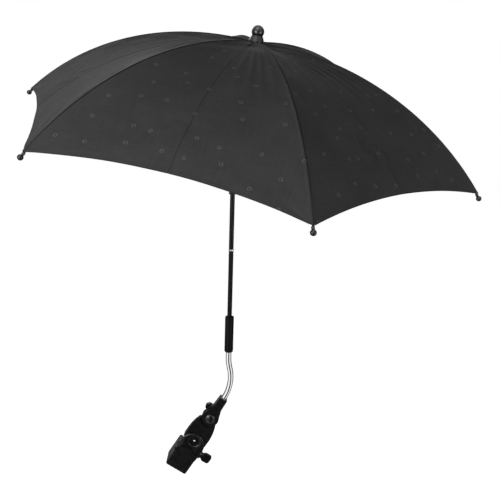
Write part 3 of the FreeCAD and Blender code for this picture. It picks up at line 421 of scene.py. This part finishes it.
def panel_relief(canopy, gore, side_share, reach, rim, down):
    """Relief of a panel along its normal: its sag, crease, folded hem and stitches, and its small folds.

    The sag is half a wave down the panel times a parabola across it. The crease is a ridge that rises some
    way below the hub. The hem is a step, with the stitches as a groove along its upper edge.
    """
    sag_bias = 0.85
    crease_width = 0.0014
    crease_start = 0.05
    crease_rise = 0.08
    hem_step = 0.0002
    stitch_depth = 0.0001
    stitch_width = 0.0007
    done = (reach - canopy.hole) / (rim - canopy.hole)
    from_crease = side_share * reach * HALF_SINE
    sag = -canopy.sag * np.sin(math.pi * done ** sag_bias) * (1 - side_share ** 2)
    pressed = smooth_step((reach - crease_start) / crease_rise)
    crease = canopy.crease * ridge(from_crease, crease_width) * pressed
    fold_edge = hem_step * smooth_step((canopy.hem - down) / DOUBLED_EDGE)
    stitch = -stitch_depth * ridge(down - canopy.hem, stitch_width)
    return sag + crease + fold_edge + stitch + pull_folds(canopy, gore, side_share, reach, down)


def rib_seam(canopy, side, from_rib, reach):
    """Height of the felled seam: a flat step on one side of its rib, and a rounded end on the other."""
    seam_start = 0.02
    if side < 0:
        felled = smooth_step((canopy.fell - from_rib) / DOUBLED_EDGE)
    else:
        felled = ridge(from_rib, DOUBLED_EDGE)
    return canopy.seam * felled * smooth_step((reach - canopy.hole) / seam_start)


def half_panel(canopy, number, side):
    """Half of a panel, from its rib to the pressed crease, with its chart, marks and flat area.

    A point lies on the straight line from the rib to the crease at one height, which is the arc's height
    at its reach. It then moves along the panel's normal by the relief, and along the rib's normal by the
    seam. The chart gives metres from the crease and metres from the hole, apart for each gore. The marks
    give metres from the rib, the crease and the hem.
    """
    chart_step = (0.83, 0.57)
    across, reach = cloth_grid(canopy)
    rim = hem_reach(canopy, across)
    slope = cloth_slope(canopy, reach)
    toward = side * HALF_SINE * HALF_COSINE
    level = np.stack([
        reach * (1 - across * HALF_SINE ** 2),
        reach * across * toward,
        cloth_height(canopy, reach),
    ], axis=-1)
    steps_down = np.diff(level, axis=0)[:, :-1]
    steps_across = np.diff(level, axis=1)[:-1]
    flat_area = float(np.linalg.norm(np.cross(steps_down, steps_across), axis=-1).sum())

    gore = (number - 1 if side > 0 else number - 2) % len(RIBS)
    side_share = -side * (1 - across)
    from_crease = side_share * reach * HALF_SINE
    from_rib = across * reach * HALF_SINE
    down = (rim - reach) * np.sqrt(1 + slope ** 2)

    steep = slope / HALF_COSINE
    panel_normal = np.stack([
        -steep * HALF_COSINE,
        -steep * side * HALF_SINE,
        np.ones_like(steep),
    ], axis=-1) / np.sqrt(1 + steep ** 2)[..., None]
    rib_normal = np.stack([-slope, np.zeros_like(slope), np.ones_like(slope)], axis=-1)
    rib_normal = rib_normal / np.sqrt(1 + slope ** 2)[..., None]
    relief = panel_relief(canopy, gore, side_share, reach, rim, down)
    seam = rib_seam(canopy, side, from_rib, reach)
    points = level + relief[..., None] * panel_normal + seam[..., None] * rib_normal

    chart = np.stack([
        from_crease + chart_step[0] * gore,
        cloth_run(canopy, reach) + chart_step[1] * gore,
    ], axis=-1)
    marks = {"from_rib": from_rib, "from_crease": np.abs(from_crease), "from_hem": down}
    if side < 0:
        points = points[:, ::-1]
        chart = chart[:, ::-1]
        marks = {mark: values[:, ::-1] for mark, values in marks.items()}
    return in_place(points, number), chart, marks, flat_area


def clamp_shield(trims):
    """Arched shield of the clamp's lug, as a closed shell of rings round the bolt.

    A ray from the bolt ends on a circle about a point below it, or under that point on the straight sides
    and the foot. Rings step from the opening out to that edge and back, with rounded edges in front.
    """
    points_round = 120
    edge_middle = 0.3
    turn = full_turn(points_round)
    sideways = np.cos(turn)
    upward = np.sin(turn)
    drop = trims.shield_drop
    arch = -upward * drop + np.sqrt((upward * drop) ** 2 + trims.shield_radius ** 2 - drop ** 2)
    sides = trims.shield_radius / np.maximum(np.abs(sideways), TINY)
    foot = trims.shield_foot / np.maximum(-upward, TINY)
    rim = np.where(arch * upward > -drop, arch, np.minimum(sides, foot))
    edge = trims.shield_edge
    front = trims.shield_front
    part = edge_middle * edge
    rounding = [(0, trims.shield_back), (0, front + edge), (part, front + part), (edge, front)]
    reach = [np.full_like(rim, trims.shield_hole + inset) for inset, _ in rounding]
    reach += [rim - inset for inset, _ in rounding[::-1]]
    depth = [place for _, place in rounding + rounding[::-1]]
    ray = sideways[:, None] * CLAMP_SIDE + upward[:, None] * CLAMP_UP
    points = BOLT + np.array(reach)[..., None] * ray
    points[..., 1] = np.array(depth)[:, None]
    return points


def bolt_nose(trims):
    """Domed nose on the lug bolt's head: rings whose radius and height follow a quarter of a circle.

    The last ring keeps a share of the radius, so that a small flat face closes it.
    """
    rings = 9
    points_round = 24
    least_radius = 0.1
    flatness = 0.6
    lift = np.linspace(0, 0.5 * math.pi, rings)[:, None]
    turn = full_turn(points_round)[None]
    radius = trims.nose_radius * np.maximum(np.cos(lift), least_radius)
    sideways = -radius * np.cos(turn)
    upward = radius * np.sin(turn)
    points = BOLT + sideways[..., None] * CLAMP_SIDE + upward[..., None] * CLAMP_UP
    points[..., 1] = trims.bolt_face - flatness * trims.nose_radius * np.sin(lift)
    return points


def neck_thread(trims, canopy, number):
    """Thread wound round the neck of a ball tip: a helix about the rib's end, with a round section.

    The ball's middle lies on the rib's arc, and the neck runs back along that arc's tangent. The thread
    thins to almost nothing at its two ends.
    """
    turns = 5
    steps_in_turn = 22
    points_round = 8
    spacing = 2.1
    rise = 0.8
    thinning = 0.6
    thinnest = 0.05
    radius = canopy.arc_radius - trims.rib_drop
    out = trims.tip_reach - canopy.arc_out
    fall = math.sqrt(radius ** 2 - out ** 2)
    ball = np.array([trims.tip_reach, 0, canopy.peak - canopy.arc_radius + fall])
    back = np.array([-fall, 0, out]) / radius
    square = np.array([out, 0, fall]) / radius
    turn = np.linspace(0, 2 * math.pi * turns, steps_in_turn * turns + 1)[:, None, None]
    radial = np.cos(turn) * square + np.sin(turn) * np.array([0, 1, 0])
    pitch = spacing * trims.thread_radius
    axis_place = ball + back * (trims.thread_start + pitch * turn / (2 * math.pi))
    section = full_turn(points_round)[None, :, None]
    from_end = np.minimum(turn, turn[-1] - turn)
    thick = trims.thread_radius * np.sqrt(np.clip(from_end / thinning, thinnest, 1))
    wound = axis_place + radial * (trims.neck_radius + rise * trims.thread_radius)
    return in_place(wound + thick * (np.cos(section) * radial + np.sin(section) * back), number)


def finial_skirt(trims, canopy):
    """Conical skirt from the finial's ball down to its foot, as a closed ring about the pole.

    Its section goes up inside, beside the neck, and down outside, straight to the foot's broken edge.
    """
    low = float(cloth_height(canopy, trims.skirt_foot)) + trims.skirt_lift
    high = low + trims.skirt_height
    section = np.array([
        [trims.skirt_neck, low],
        [trims.skirt_neck, high - trims.skirt_edge],
        [trims.skirt_top, high],
        [trims.skirt_foot, low + trims.skirt_edge],
        [trims.skirt_foot - trims.skirt_edge, low],
    ])
    points_round = 64
    turn = full_turn(points_round)
    radial, tangent, _ = rib_axes(1)
    outward = np.outer(np.cos(turn), radial) + np.outer(np.sin(turn), tangent)
    return CROWN + section[:, :1, None] * outward + section[:, 1:, None] * UP


class Recipe:
    """Node tree of one finish or of the sky, with the shader that ends it."""

    def __init__(self, owner, shader):
        self.owner = owner
        self.owner.use_nodes = True
        self.tree = self.owner.node_tree
        self.shader = self.tree.nodes[shader]
        self.places = self.tree.nodes.new("ShaderNodeTexCoord")

    def fill(self, node, sockets):
        """Links each socket that is given another socket, and sets the rest to plain values."""
        for name, value in sockets.items():
            socket = node.inputs[name]
            if isinstance(value, bpy.types.NodeSocket):
                self.tree.links.new(value, socket)
            else:
                socket.default_value = value

    def add(self, kind, sockets, **settings):
        """A new node of that kind."""
        node = self.tree.nodes.new("ShaderNode" + kind)
        for name, value in settings.items():
            setattr(node, name, value)
        self.fill(node, sockets)
        return node

    def math(self, operation, first, second=0.0):
        """Result of a Math node on two values or sockets."""
        return self.add("Math", {0: first, 1: second}, operation=operation).outputs[0]

    def remap(self, value, source, result):
        """Value moved from one range to another and held inside it."""
        sockets = {"Value": value, "From Min": source[0], "From Max": source[1]}
        sockets.update({"To Min": result[0], "To Max": result[1]})
        return self.add("MapRange", sockets).outputs["Result"]

    def noise(self, vector, scale, detail=3.0):
        """Value of a noise with that many features in a metre."""
        sockets = {"Vector": vector, "Scale": scale, "Detail": detail, "Roughness": 0.55}
        return self.add("TexNoise", sockets).outputs["Fac"]

    def mix(self, factor, first, second):
        """Colour between two colours."""
        node = self.add("Mix", {"Factor": factor}, data_type="RGBA")
        for socket, value in ((node.inputs[6], first), (node.inputs[7], second)):
            if isinstance(value, bpy.types.NodeSocket):
                self.tree.links.new(value, socket)
            else:
                socket.default_value = (*value, 1)
        return node.outputs[2]

    def cloudy(self, rgb, scale, dark, light):
        """Colour that wanders between a darker and a lighter one in soft clouds."""
        cloud = self.remap(self.noise(self.places.outputs["Object"], scale), NOISE_CORE, (0, 1))
        return self.mix(cloud, scaled(rgb, dark), scaled(rgb, light))

    def bump(self, height, strength, distance):
        """Normal disturbed by a height."""
        sockets = {"Height": height, "Strength": strength, "Distance": distance}
        return self.add("Bump", sockets).outputs["Normal"]

    def mark(self, name):
        """Value of a piece's own attribute."""
        return self.add("Attribute", {}, attribute_name=name).outputs["Fac"]

    def shade(self, **sockets):
        """Sets or links sockets of the shader, with spaces for underscores."""
        self.fill(self.shader, {name.replace("_", " "): value for name, value in sockets.items()})
        return self.owner


def new_finish(name):
    """Recipe of a new material."""
    return Recipe(bpy.data.materials.new(name), "Principled BSDF")


def scaled(rgb, factor):
    """A colour made lighter or darker."""
    return tuple(min(1.0, part * factor) for part in rgb)


def moulded_finish(name, rgb, rough_mean, shine):
    """Moulded plastic: cloudy tone, a fine spark-eroded grain and uneven gloss."""
    spread = 0.06
    recipe = new_finish(name)
    place = recipe.places.outputs["Object"]
    tone = recipe.cloudy(rgb, scale=70, dark=0.8, light=1.25)
    pits = recipe.noise(place, scale=2600, detail=2)
    rough_range = (rough_mean - spread, rough_mean + spread)
    rough = recipe.remap(recipe.noise(place, scale=180), NOISE_BODY, rough_range)
    return recipe.shade(Base_Color=tone, Roughness=rough, Specular_IOR_Level=shine,
                        Normal=recipe.bump(pits, strength=0.12, distance=0.0001))


def gloss_finish(name, rgb):
    """Glossy black plastic: deep tone with faint handling marks in its gloss."""
    recipe = new_finish(name)
    place = recipe.places.outputs["Object"]
    tone = recipe.cloudy(rgb, scale=90, dark=0.8, light=1.3)
    marks = recipe.remap(recipe.noise(place, scale=900, detail=4), (0.45, 0.75), (0.07, 0.13))
    ripple = recipe.noise(place, scale=240, detail=2)
    return recipe.shade(Base_Color=tone, Roughness=marks, Specular_IOR_Level=0.3,
                        Normal=recipe.bump(ripple, strength=0.06, distance=0.0002))


def painted_finish(name, rgb):
    """Stove paint on a drawn tube: semi-gloss with a slight orange peel."""
    recipe = new_finish(name)
    place = recipe.places.outputs["Object"]
    tone = recipe.cloudy(rgb, scale=55, dark=0.85, light=1.2)
    rough = recipe.remap(recipe.noise(place, scale=300), NOISE_BODY, (0.24, 0.34))
    peel = recipe.noise(place, scale=700, detail=2)
    return recipe.shade(Base_Color=tone, Roughness=rough, Specular_IOR_Level=0.09,
                        Normal=recipe.bump(peel, strength=0.08, distance=0.0002))


def plated_finish(name, rgb, rough_range, grain):
    """Bare or plated metal: fine drawing lines along it and uneven polish."""
    drawn = (1, 1, 0.05)
    recipe = new_finish(name)
    place = recipe.places.outputs["Object"]
    stretch = recipe.add("Mapping", {"Vector": place, "Scale": drawn})
    lines = recipe.noise(stretch.outputs["Vector"], scale=2200, detail=2)
    polish = recipe.noise(place, scale=120, detail=4)
    rough = recipe.remap(polish, (0.35, 0.7), rough_range)
    tone = recipe.mix(polish, scaled(rgb, 0.9), scaled(rgb, 1.08))
    return recipe.shade(Base_Color=tone, Metallic=1.0, Roughness=rough,
                        Normal=recipe.bump(lines, strength=grain, distance=0.00005))


def soft_finish(name, rgb, scale, strength):
    """Rubber or felt: dull, with a coarse grain in tone and height."""
    recipe = new_finish(name)
    nap = recipe.noise(recipe.places.outputs["Object"], scale, detail=5)
    tone = recipe.mix(recipe.remap(nap, NOISE_BODY, (0, 1)), scaled(rgb, 0.7), scaled(rgb, 1.4))
    rough = recipe.remap(nap, NOISE_BODY, (0.78, 0.92))
    return recipe.shade(Base_Color=tone, Roughness=rough, Specular_IOR_Level=0.25,
                        Normal=recipe.bump(nap, strength, distance=0.0003))


def weave_height(recipe, chart, thread_pitch):
    """Height of the weave: the product of two crossed waves, one ridge for each thread."""
    wave_factor = 20  # radians of the Wave node's wave for each unit of its scale
    sockets = {"Vector": chart, "Scale": 2 * math.pi / (wave_factor * thread_pitch), "Distortion": 0.3}
    weft = recipe.add("TexWave", sockets, bands_direction="X")
    warp = recipe.add("TexWave", sockets, bands_direction="Y")
    return recipe.math("MULTIPLY", weft.outputs["Fac"], warp.outputs["Fac"])


def yarn_noise(recipe, chart):
    """Uneven yarn: the sum of two noises, one drawn out along the warp and one along the weft."""
    along_warp = recipe.add("Mapping", {"Vector": chart, "Scale": (1, 0.03, 1)}).outputs["Vector"]
    along_weft = recipe.add("Mapping", {"Vector": chart, "Scale": (0.03, 1, 1)}).outputs["Vector"]
    return recipe.math("ADD", recipe.noise(along_warp, scale=900), recipe.noise(along_weft, scale=900))


def ring_print(recipe, canopy, chart):
    """Share of print: worn rings, at one distance from the nearest point of a loosened lattice."""
    sockets = {"Vector": chart, "Scale": 1 / canopy.ring_pitch, "Randomness": 0.62}
    cells = recipe.add("TexVoronoi", sockets, voronoi_dimensions="2D", feature="F1")
    off_ring = recipe.math("SUBTRACT", cells.outputs["Distance"], canopy.ring_radius / canopy.ring_pitch)
    line = canopy.ring_line / canopy.ring_pitch
    ring = recipe.remap(recipe.math("ABSOLUTE", off_ring), (0.6 * line, 1.3 * line), (1, 0))
    worn = recipe.remap(recipe.noise(chart, scale=260, detail=2), (0.35, 0.62), (0.35, 1))
    return recipe.math("MULTIPLY", ring, worn)


def painted_line_shade(recipe):
    """Share of the colour that is left in the painted shade along the seams, the creases and the hem.

    Each line fades between two distances from its mark. The seam's line is weaker near the hem.
    """
    # painted shade beside each rib seam, weaker near the hem
    seam_painted_shade = recipe.remap(recipe.mark("from_hem"), (0.01, 0.12), (0.65, 0.25))
    # painted shade lines: the seam beside the rib, the pressed crease and the edge of the hem
    lines = (
        ("from_rib", (0.0008, 0.0021), seam_painted_shade),
        ("from_crease", (0.0003, 0.0013), 0.72),
        ("from_hem", (0.0006, 0.0018), 0.6),
    )
    shade = 1.0
    for mark, fade, dark in lines:
        shade = recipe.math("MULTIPLY", recipe.remap(recipe.mark(mark), fade, (dark, 1)), shade)
    return shade


def cloth_finish(canopy):
    """Woven polyester: crossed threads, uneven yarn, broad cloudiness, a ring print, and painted shade
    along seams, creases and hem.
    """
    recipe = new_finish("canopy_cloth")
    chart = recipe.places.outputs["UV"]
    weave = weave_height(recipe, chart, canopy.thread_pitch)
    yarn = yarn_noise(recipe, chart)
    cloud = recipe.noise(chart, scale=14, detail=4)
    tone_share = recipe.remap(recipe.math("ADD", yarn, cloud), (1.2, 1.8), (0, 1))
    base = recipe.mix(tone_share, scaled(canopy.cloth_colour, 0.84), scaled(canopy.cloth_colour, 1.16))
    printed = recipe.mix(ring_print(recipe, canopy, chart), base, tuple(canopy.ring_colour))
    # painted shade: the colour is drawn towards black along the seams, creases and hem
    tone = recipe.mix(painted_line_shade(recipe), (0, 0, 0), printed)
    rough = recipe.remap(yarn, (0.7, 1.3), (0.78, 0.9))
    return recipe.shade(Base_Color=tone, Roughness=rough, Specular_IOR_Level=0.04, Sheen_Weight=0.08,
                        Sheen_Roughness=0.3, Normal=recipe.bump(weave, strength=0.25, distance=0.00012))


def thread_finish(canopy):
    """Sewing thread: twisted black polyester with a slight shine."""
    recipe = new_finish("sewing_thread")
    twist = recipe.noise(recipe.places.outputs["Object"], scale=3000, detail=2)
    tone = recipe.mix(twist, scaled(canopy.cloth_colour, 0.5), scaled(canopy.cloth_colour, 1.6))
    rough = recipe.remap(twist, NOISE_BODY, (0.5, 0.7))
    return recipe.shade(Base_Color=tone, Roughness=rough,
                        Normal=recipe.bump(twist, strength=0.3, distance=0.0001))


def coat(node, material, edge=0.0):
    """Gives a finish to a CAD node, with rounded edges where a width is given, in place of any before."""
    piece = frame["nodes"][node]
    piece.modifiers.clear()
    piece.data.materials.clear()
    piece.data.materials.append(material)
    if edge:
        weld = piece.modifiers.new("Weld", "WELD")
        weld.merge_threshold = TINY
        rounding = piece.modifiers.new("Rounded edges", "BEVEL")
        rounding.width = edge
        rounding.segments = 3
        rounding.limit_method = "ANGLE"
        rounding.angle_limit = math.radians(40)


def dress(material, slot, edge=0.0):
    """Gives a finish to every CAD node of a record slot."""
    for entry in frame["record"]["subparts"]:
        if entry["material_slot"] == slot:
            coat(entry["node"], material, edge)


class PARASOL_OT_canopy(bpy.types.Operator):
    """Stretches the cloth over the ribs, half a panel on each side of every rib"""

    bl_idname = "parasol.canopy"
    bl_label = "Canopy"

    def execute(self, context):
        canopy = context.scene.parasol_canopy
        cloth = cloth_finish(canopy)
        for number in RIB_NUMBERS:
            for side, hand in ((1, "left"), (-1, "right")):
                points, chart, marks, area = half_panel(canopy, number, side)
                piece = grid_object(f"canopy_{number}_{hand}", points, chart, marks)
                piece.data.materials.append(cloth)
                wall = piece.modifiers.new("Thickness", "SOLIDIFY")
                wall.thickness = canopy.thickness
                wall.offset = -1
                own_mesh(piece)
                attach(piece, f"rib_{number}")
                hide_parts(f"canopy_gore_{number}")
        return {"FINISHED"}


class PARASOL_OT_threads(bpy.types.Operator):
    """Winds the sewing thread that holds the cloth's corners on the ball tips"""

    bl_idname = "parasol.threads"
    bl_label = "Threads"

    def execute(self, context):
        canopy = context.scene.parasol_canopy
        trims = context.scene.parasol_trims
        finish = thread_finish(canopy)
        for number in RIB_NUMBERS:
            points = neck_thread(trims, canopy, number)
            piece = grid_object(f"corner_thread_{number}", points, round_columns=True, capped=True)
            piece.data.materials.append(finish)
            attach(piece, f"rib_{number}")
        return {"FINISHED"}


class PARASOL_OT_mouldings(bpy.types.Operator):
    """Finishes the plastic pieces, and adds the shield round the lug bolt and the finial's skirt"""

    bl_idname = "parasol.mouldings"
    bl_label = "Mouldings"

    def execute(self, context):
        finishes = context.scene.parasol_finishes
        trims = context.scene.parasol_trims
        plastic = moulded_finish("moulded_plastic", finishes.plastic, rough_mean=0.27, shine=0.3)
        dress(plastic, "black_plastic", finishes.edge)
        coat("jaw", plastic, 2 * finishes.edge)
        matt = moulded_finish("matt_plastic", finishes.plastic, rough_mean=0.5, shine=0.07)
        coat("sleeve", matt, finishes.edge)
        dress(gloss_finish("gloss_plastic", finishes.gloss), "gloss_black")
        satin = moulded_finish("satin_plastic", finishes.gloss, rough_mean=0.33, shine=0.5)
        coat("finial", satin)
        shield = grid_object("lug_shield", clamp_shield(trims), round_rows=True, round_columns=True)
        shield.data.materials.append(plastic)
        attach(shield, "clamp")
        points = finial_skirt(trims, context.scene.parasol_canopy)
        skirt = grid_object("finial_skirt", points, round_rows=True, round_columns=True)
        skirt.data.set_sharp_from_angle(angle=math.radians(30))
        skirt.data.materials.append(satin)
        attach(skirt, "head")
        return {"FINISHED"}


class PARASOL_OT_metalwork(bpy.types.Operator):
    """Finishes the poles, the stem, the ribs and the small steel pieces, and adds the lug bolt's nose"""

    bl_idname = "parasol.metalwork"
    bl_label = "Metalwork"

    def execute(self, context):
        finishes = context.scene.parasol_finishes
        dress(painted_finish("pole_paint", finishes.paint), "painted_pole")
        dress(painted_finish("rib_paint", finishes.rib_paint), "painted_rib")
        chrome = plated_finish("chrome_plate", finishes.chrome, rough_range=(0.03, 0.08), grain=0.02)
        dress(chrome, "chrome")
        bright = plated_finish("bright_steel", finishes.steel, rough_range=(0.18, 0.34), grain=0.12)
        dress(bright, "steel")
        blackened = plated_finish("blackened_steel", finishes.black_steel,
                                  rough_range=(0.2, 0.36), grain=0.1)
        coat("lug_bolt", blackened, finishes.edge)
        points = bolt_nose(context.scene.parasol_trims)
        nose = grid_object("lug_bolt_nose", points, round_columns=True, capped=True)
        nose.data.materials.append(bright)
        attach(nose, "clamp")
        return {"FINISHED"}


class PARASOL_OT_soft_trims(bpy.types.Operator):
    """Finishes the rubber of the clamp and the felt under the finial"""

    bl_idname = "parasol.soft_trims"
    bl_label = "Rubber and felt"

    def execute(self, context):
        finishes = context.scene.parasol_finishes
        dress(soft_finish("clamp_rubber", finishes.rubber, scale=1400, strength=0.2), "rubber")
        dress(soft_finish("washer_felt", finishes.felt, scale=2600, strength=0.5), "felt")
        return {"FINISHED"}


def softbox(name, place, target, size, power):
    """A square soft light that faces its target."""
    lamp = bpy.data.lights.new(name, "AREA")
    lamp.shape = "SQUARE"
    lamp.size = size
    lamp.energy = power
    light = bpy.data.objects.new(name, lamp)
    light.location = place
    light.rotation_euler = (Vector(target) - Vector(place)).to_track_quat("-Z", "Y").to_euler()
    light.visible_camera = False
    bpy.context.scene.collection.objects.link(light)


def studio_world(sky):
    """Even sky, white for the camera and through glass. Gloss sees a white room with gaps in its walls.

    The dark gaps lie at set turns about the up axis, counted from the camera's side: a narrow one ahead,
    a little to the right, and a broad one towards the back on each side. Above them is a white ceiling
    with a brighter softbox, which draws light lines on rounded upper edges.
    """
    ahead_gap = math.radians(10)
    ahead_edge = (0.36, 0.5)
    side_gap = math.radians(122)
    side_edge = (0.58, 0.72)
    wall_light = (0.04, 1)
    ceiling_edge = (0.3, 0.5)
    ceiling_light = (0, 0.9)
    overhead = (-0.1, -0.47, 0.88)
    overhead_edge = (0.88, 0.95)
    overhead_light = (0, 4)
    recipe = Recipe(bpy.data.worlds.new("studio"), "Background")
    sight = recipe.places.outputs["Generated"]
    look = recipe.add("SeparateXYZ", {0: sight})
    toward_camera = recipe.math("MULTIPLY", look.outputs["Y"], -1.0)
    turn = recipe.math("ARCTAN2", look.outputs["X"], toward_camera)
    from_ahead = recipe.math("ABSOLUTE", recipe.math("SUBTRACT", turn, ahead_gap))
    from_side = recipe.math("ABSOLUTE", recipe.math("SUBTRACT", recipe.math("ABSOLUTE", turn), side_gap))
    walls = recipe.math("MULTIPLY", recipe.remap(from_ahead, ahead_edge, wall_light),
                        recipe.remap(from_side, side_edge, wall_light))
    room = recipe.math("MAXIMUM", walls, recipe.remap(look.outputs["Z"], ceiling_edge, ceiling_light))
    aim = recipe.add("VectorMath", {0: sight, 1: overhead}, operation="DOT_PRODUCT")
    panels = recipe.math("ADD", room, recipe.remap(aim.outputs["Value"], overhead_edge, overhead_light))
    path = recipe.add("LightPath", {})
    level = sky
    for ray, strength in (("Is Glossy Ray", panels), ("Is Transmission Ray", 1.0), ("Is Camera Ray", 1.0)):
        choice = recipe.add("Mix", {"Factor": path.outputs[ray], "A": level, "B": strength})
        level = choice.outputs[0]
    bpy.context.scene.world = recipe.shade(Color=(1, 1, 1, 1), Strength=level)


def floor_finish():
    """Pale floor that takes the shadow, with light of its own for the camera, so that it reads white."""
    camera_glow = 0.8
    recipe = new_finish("pale_floor")
    path = recipe.add("LightPath", {})
    speckle = recipe.noise(recipe.places.outputs["Object"], scale=6, detail=3)
    tone = recipe.mix(speckle, (0.86, 0.86, 0.86), (0.89, 0.89, 0.89))
    lift = recipe.math("MULTIPLY", path.outputs["Is Camera Ray"], camera_glow)
    return recipe.shade(Base_Color=tone, Roughness=0.9, Emission_Color=(1, 1, 1, 1), Emission_Strength=lift)


class PARASOL_OT_studio(bpy.types.Operator):
    """Sets up the camera, three softboxes, the sky and the floor"""

    bl_idname = "parasol.studio"
    bl_label = "Studio"

    def execute(self, context):
        studio = context.scene.parasol_studio
        scene = context.scene
        scene.view_settings.view_transform = "Standard"
        camera = bpy.data.objects.new("camera", bpy.data.cameras.new("camera"))
        camera.data.lens = studio.lens
        camera.data.sensor_width = 36
        camera.data.clip_start = 0.01
        turn = Matrix.Rotation(studio.camera_tilt, 4, "X") @ Matrix.Rotation(studio.camera_roll, 4, "Z")
        camera.matrix_world = Matrix.Translation(studio.camera_place) @ turn
        scene.collection.objects.link(camera)
        scene.camera = camera
        middle = (0.1, -0.02, 0.5)
        shade = (-0.1, 0.1, 0.75)
        softbox("key_softbox", place=(-0.8, -1.25, 0.58), target=middle, size=0.7, power=studio.key_power)
        softbox("fill_softbox", place=(1.25, -0.95, 0.3), target=middle, size=0.5, power=studio.fill_power)
        softbox("back_softbox", place=(-0.6, 1.4, 1.1), target=shade, size=0.5, power=studio.back_power)
        studio_world(studio.sky)
        half = studio.floor_side / 2
        corners = np.array([[[-half, -half], [half, -half]], [[-half, half], [half, half]]])
        height = CAD_BOX[0][2] - studio.floor_drop
        points = np.concatenate([corners, np.full((2, 2, 1), height)], axis=-1)
        floor = grid_object("floor", points[:, ::-1], corners / studio.floor_side)
        floor.data.materials.append(floor_finish())
        floor.visible_glossy = False
        return {"FINISHED"}


class PARASOL_PT_sidebar(bpy.types.Panel):
    """Lists the steps that dress the parasol"""

    bl_idname = "PARASOL_PT_sidebar"
    bl_label = "Pram parasol"
    bl_space_type = "VIEW_3D"
    bl_region_type = "UI"
    bl_category = "Parasol"

    def draw(self, context):
        for step in STEPS:
            self.layout.operator(step.bl_idname)


SETTINGS = {
    "parasol_canopy": ParasolCanopy,
    "parasol_trims": ParasolTrims,
    "parasol_finishes": ParasolFinishes,
    "parasol_studio": ParasolStudio,
}
STEPS = (
    PARASOL_OT_canopy,
    PARASOL_OT_threads,
    PARASOL_OT_mouldings,
    PARASOL_OT_metalwork,
    PARASOL_OT_soft_trims,
    PARASOL_OT_studio,
)
CLASSES = (*SETTINGS.values(), *STEPS, PARASOL_PT_sidebar)


def register():
    """Registers the classes and hangs the settings on the scene."""
    for item in CLASSES:
        bpy.utils.register_class(item)
    for name, group in SETTINGS.items():
        setattr(bpy.types.Scene, name, PointerProperty(type=group))


def unregister():
    """Takes the settings and the classes away again."""
    for name in SETTINGS:
        delattr(bpy.types.Scene, name)
    for item in reversed(CLASSES):
        bpy.utils.unregister_class(item)


def main():
    """Runs every step."""
    register()
    bpy.ops.parasol.canopy()
    bpy.ops.parasol.threads()
    bpy.ops.parasol.mouldings()
    bpy.ops.parasol.metalwork()
    bpy.ops.parasol.soft_trims()
    bpy.ops.parasol.studio()


if __name__ == "__main__":
    main()
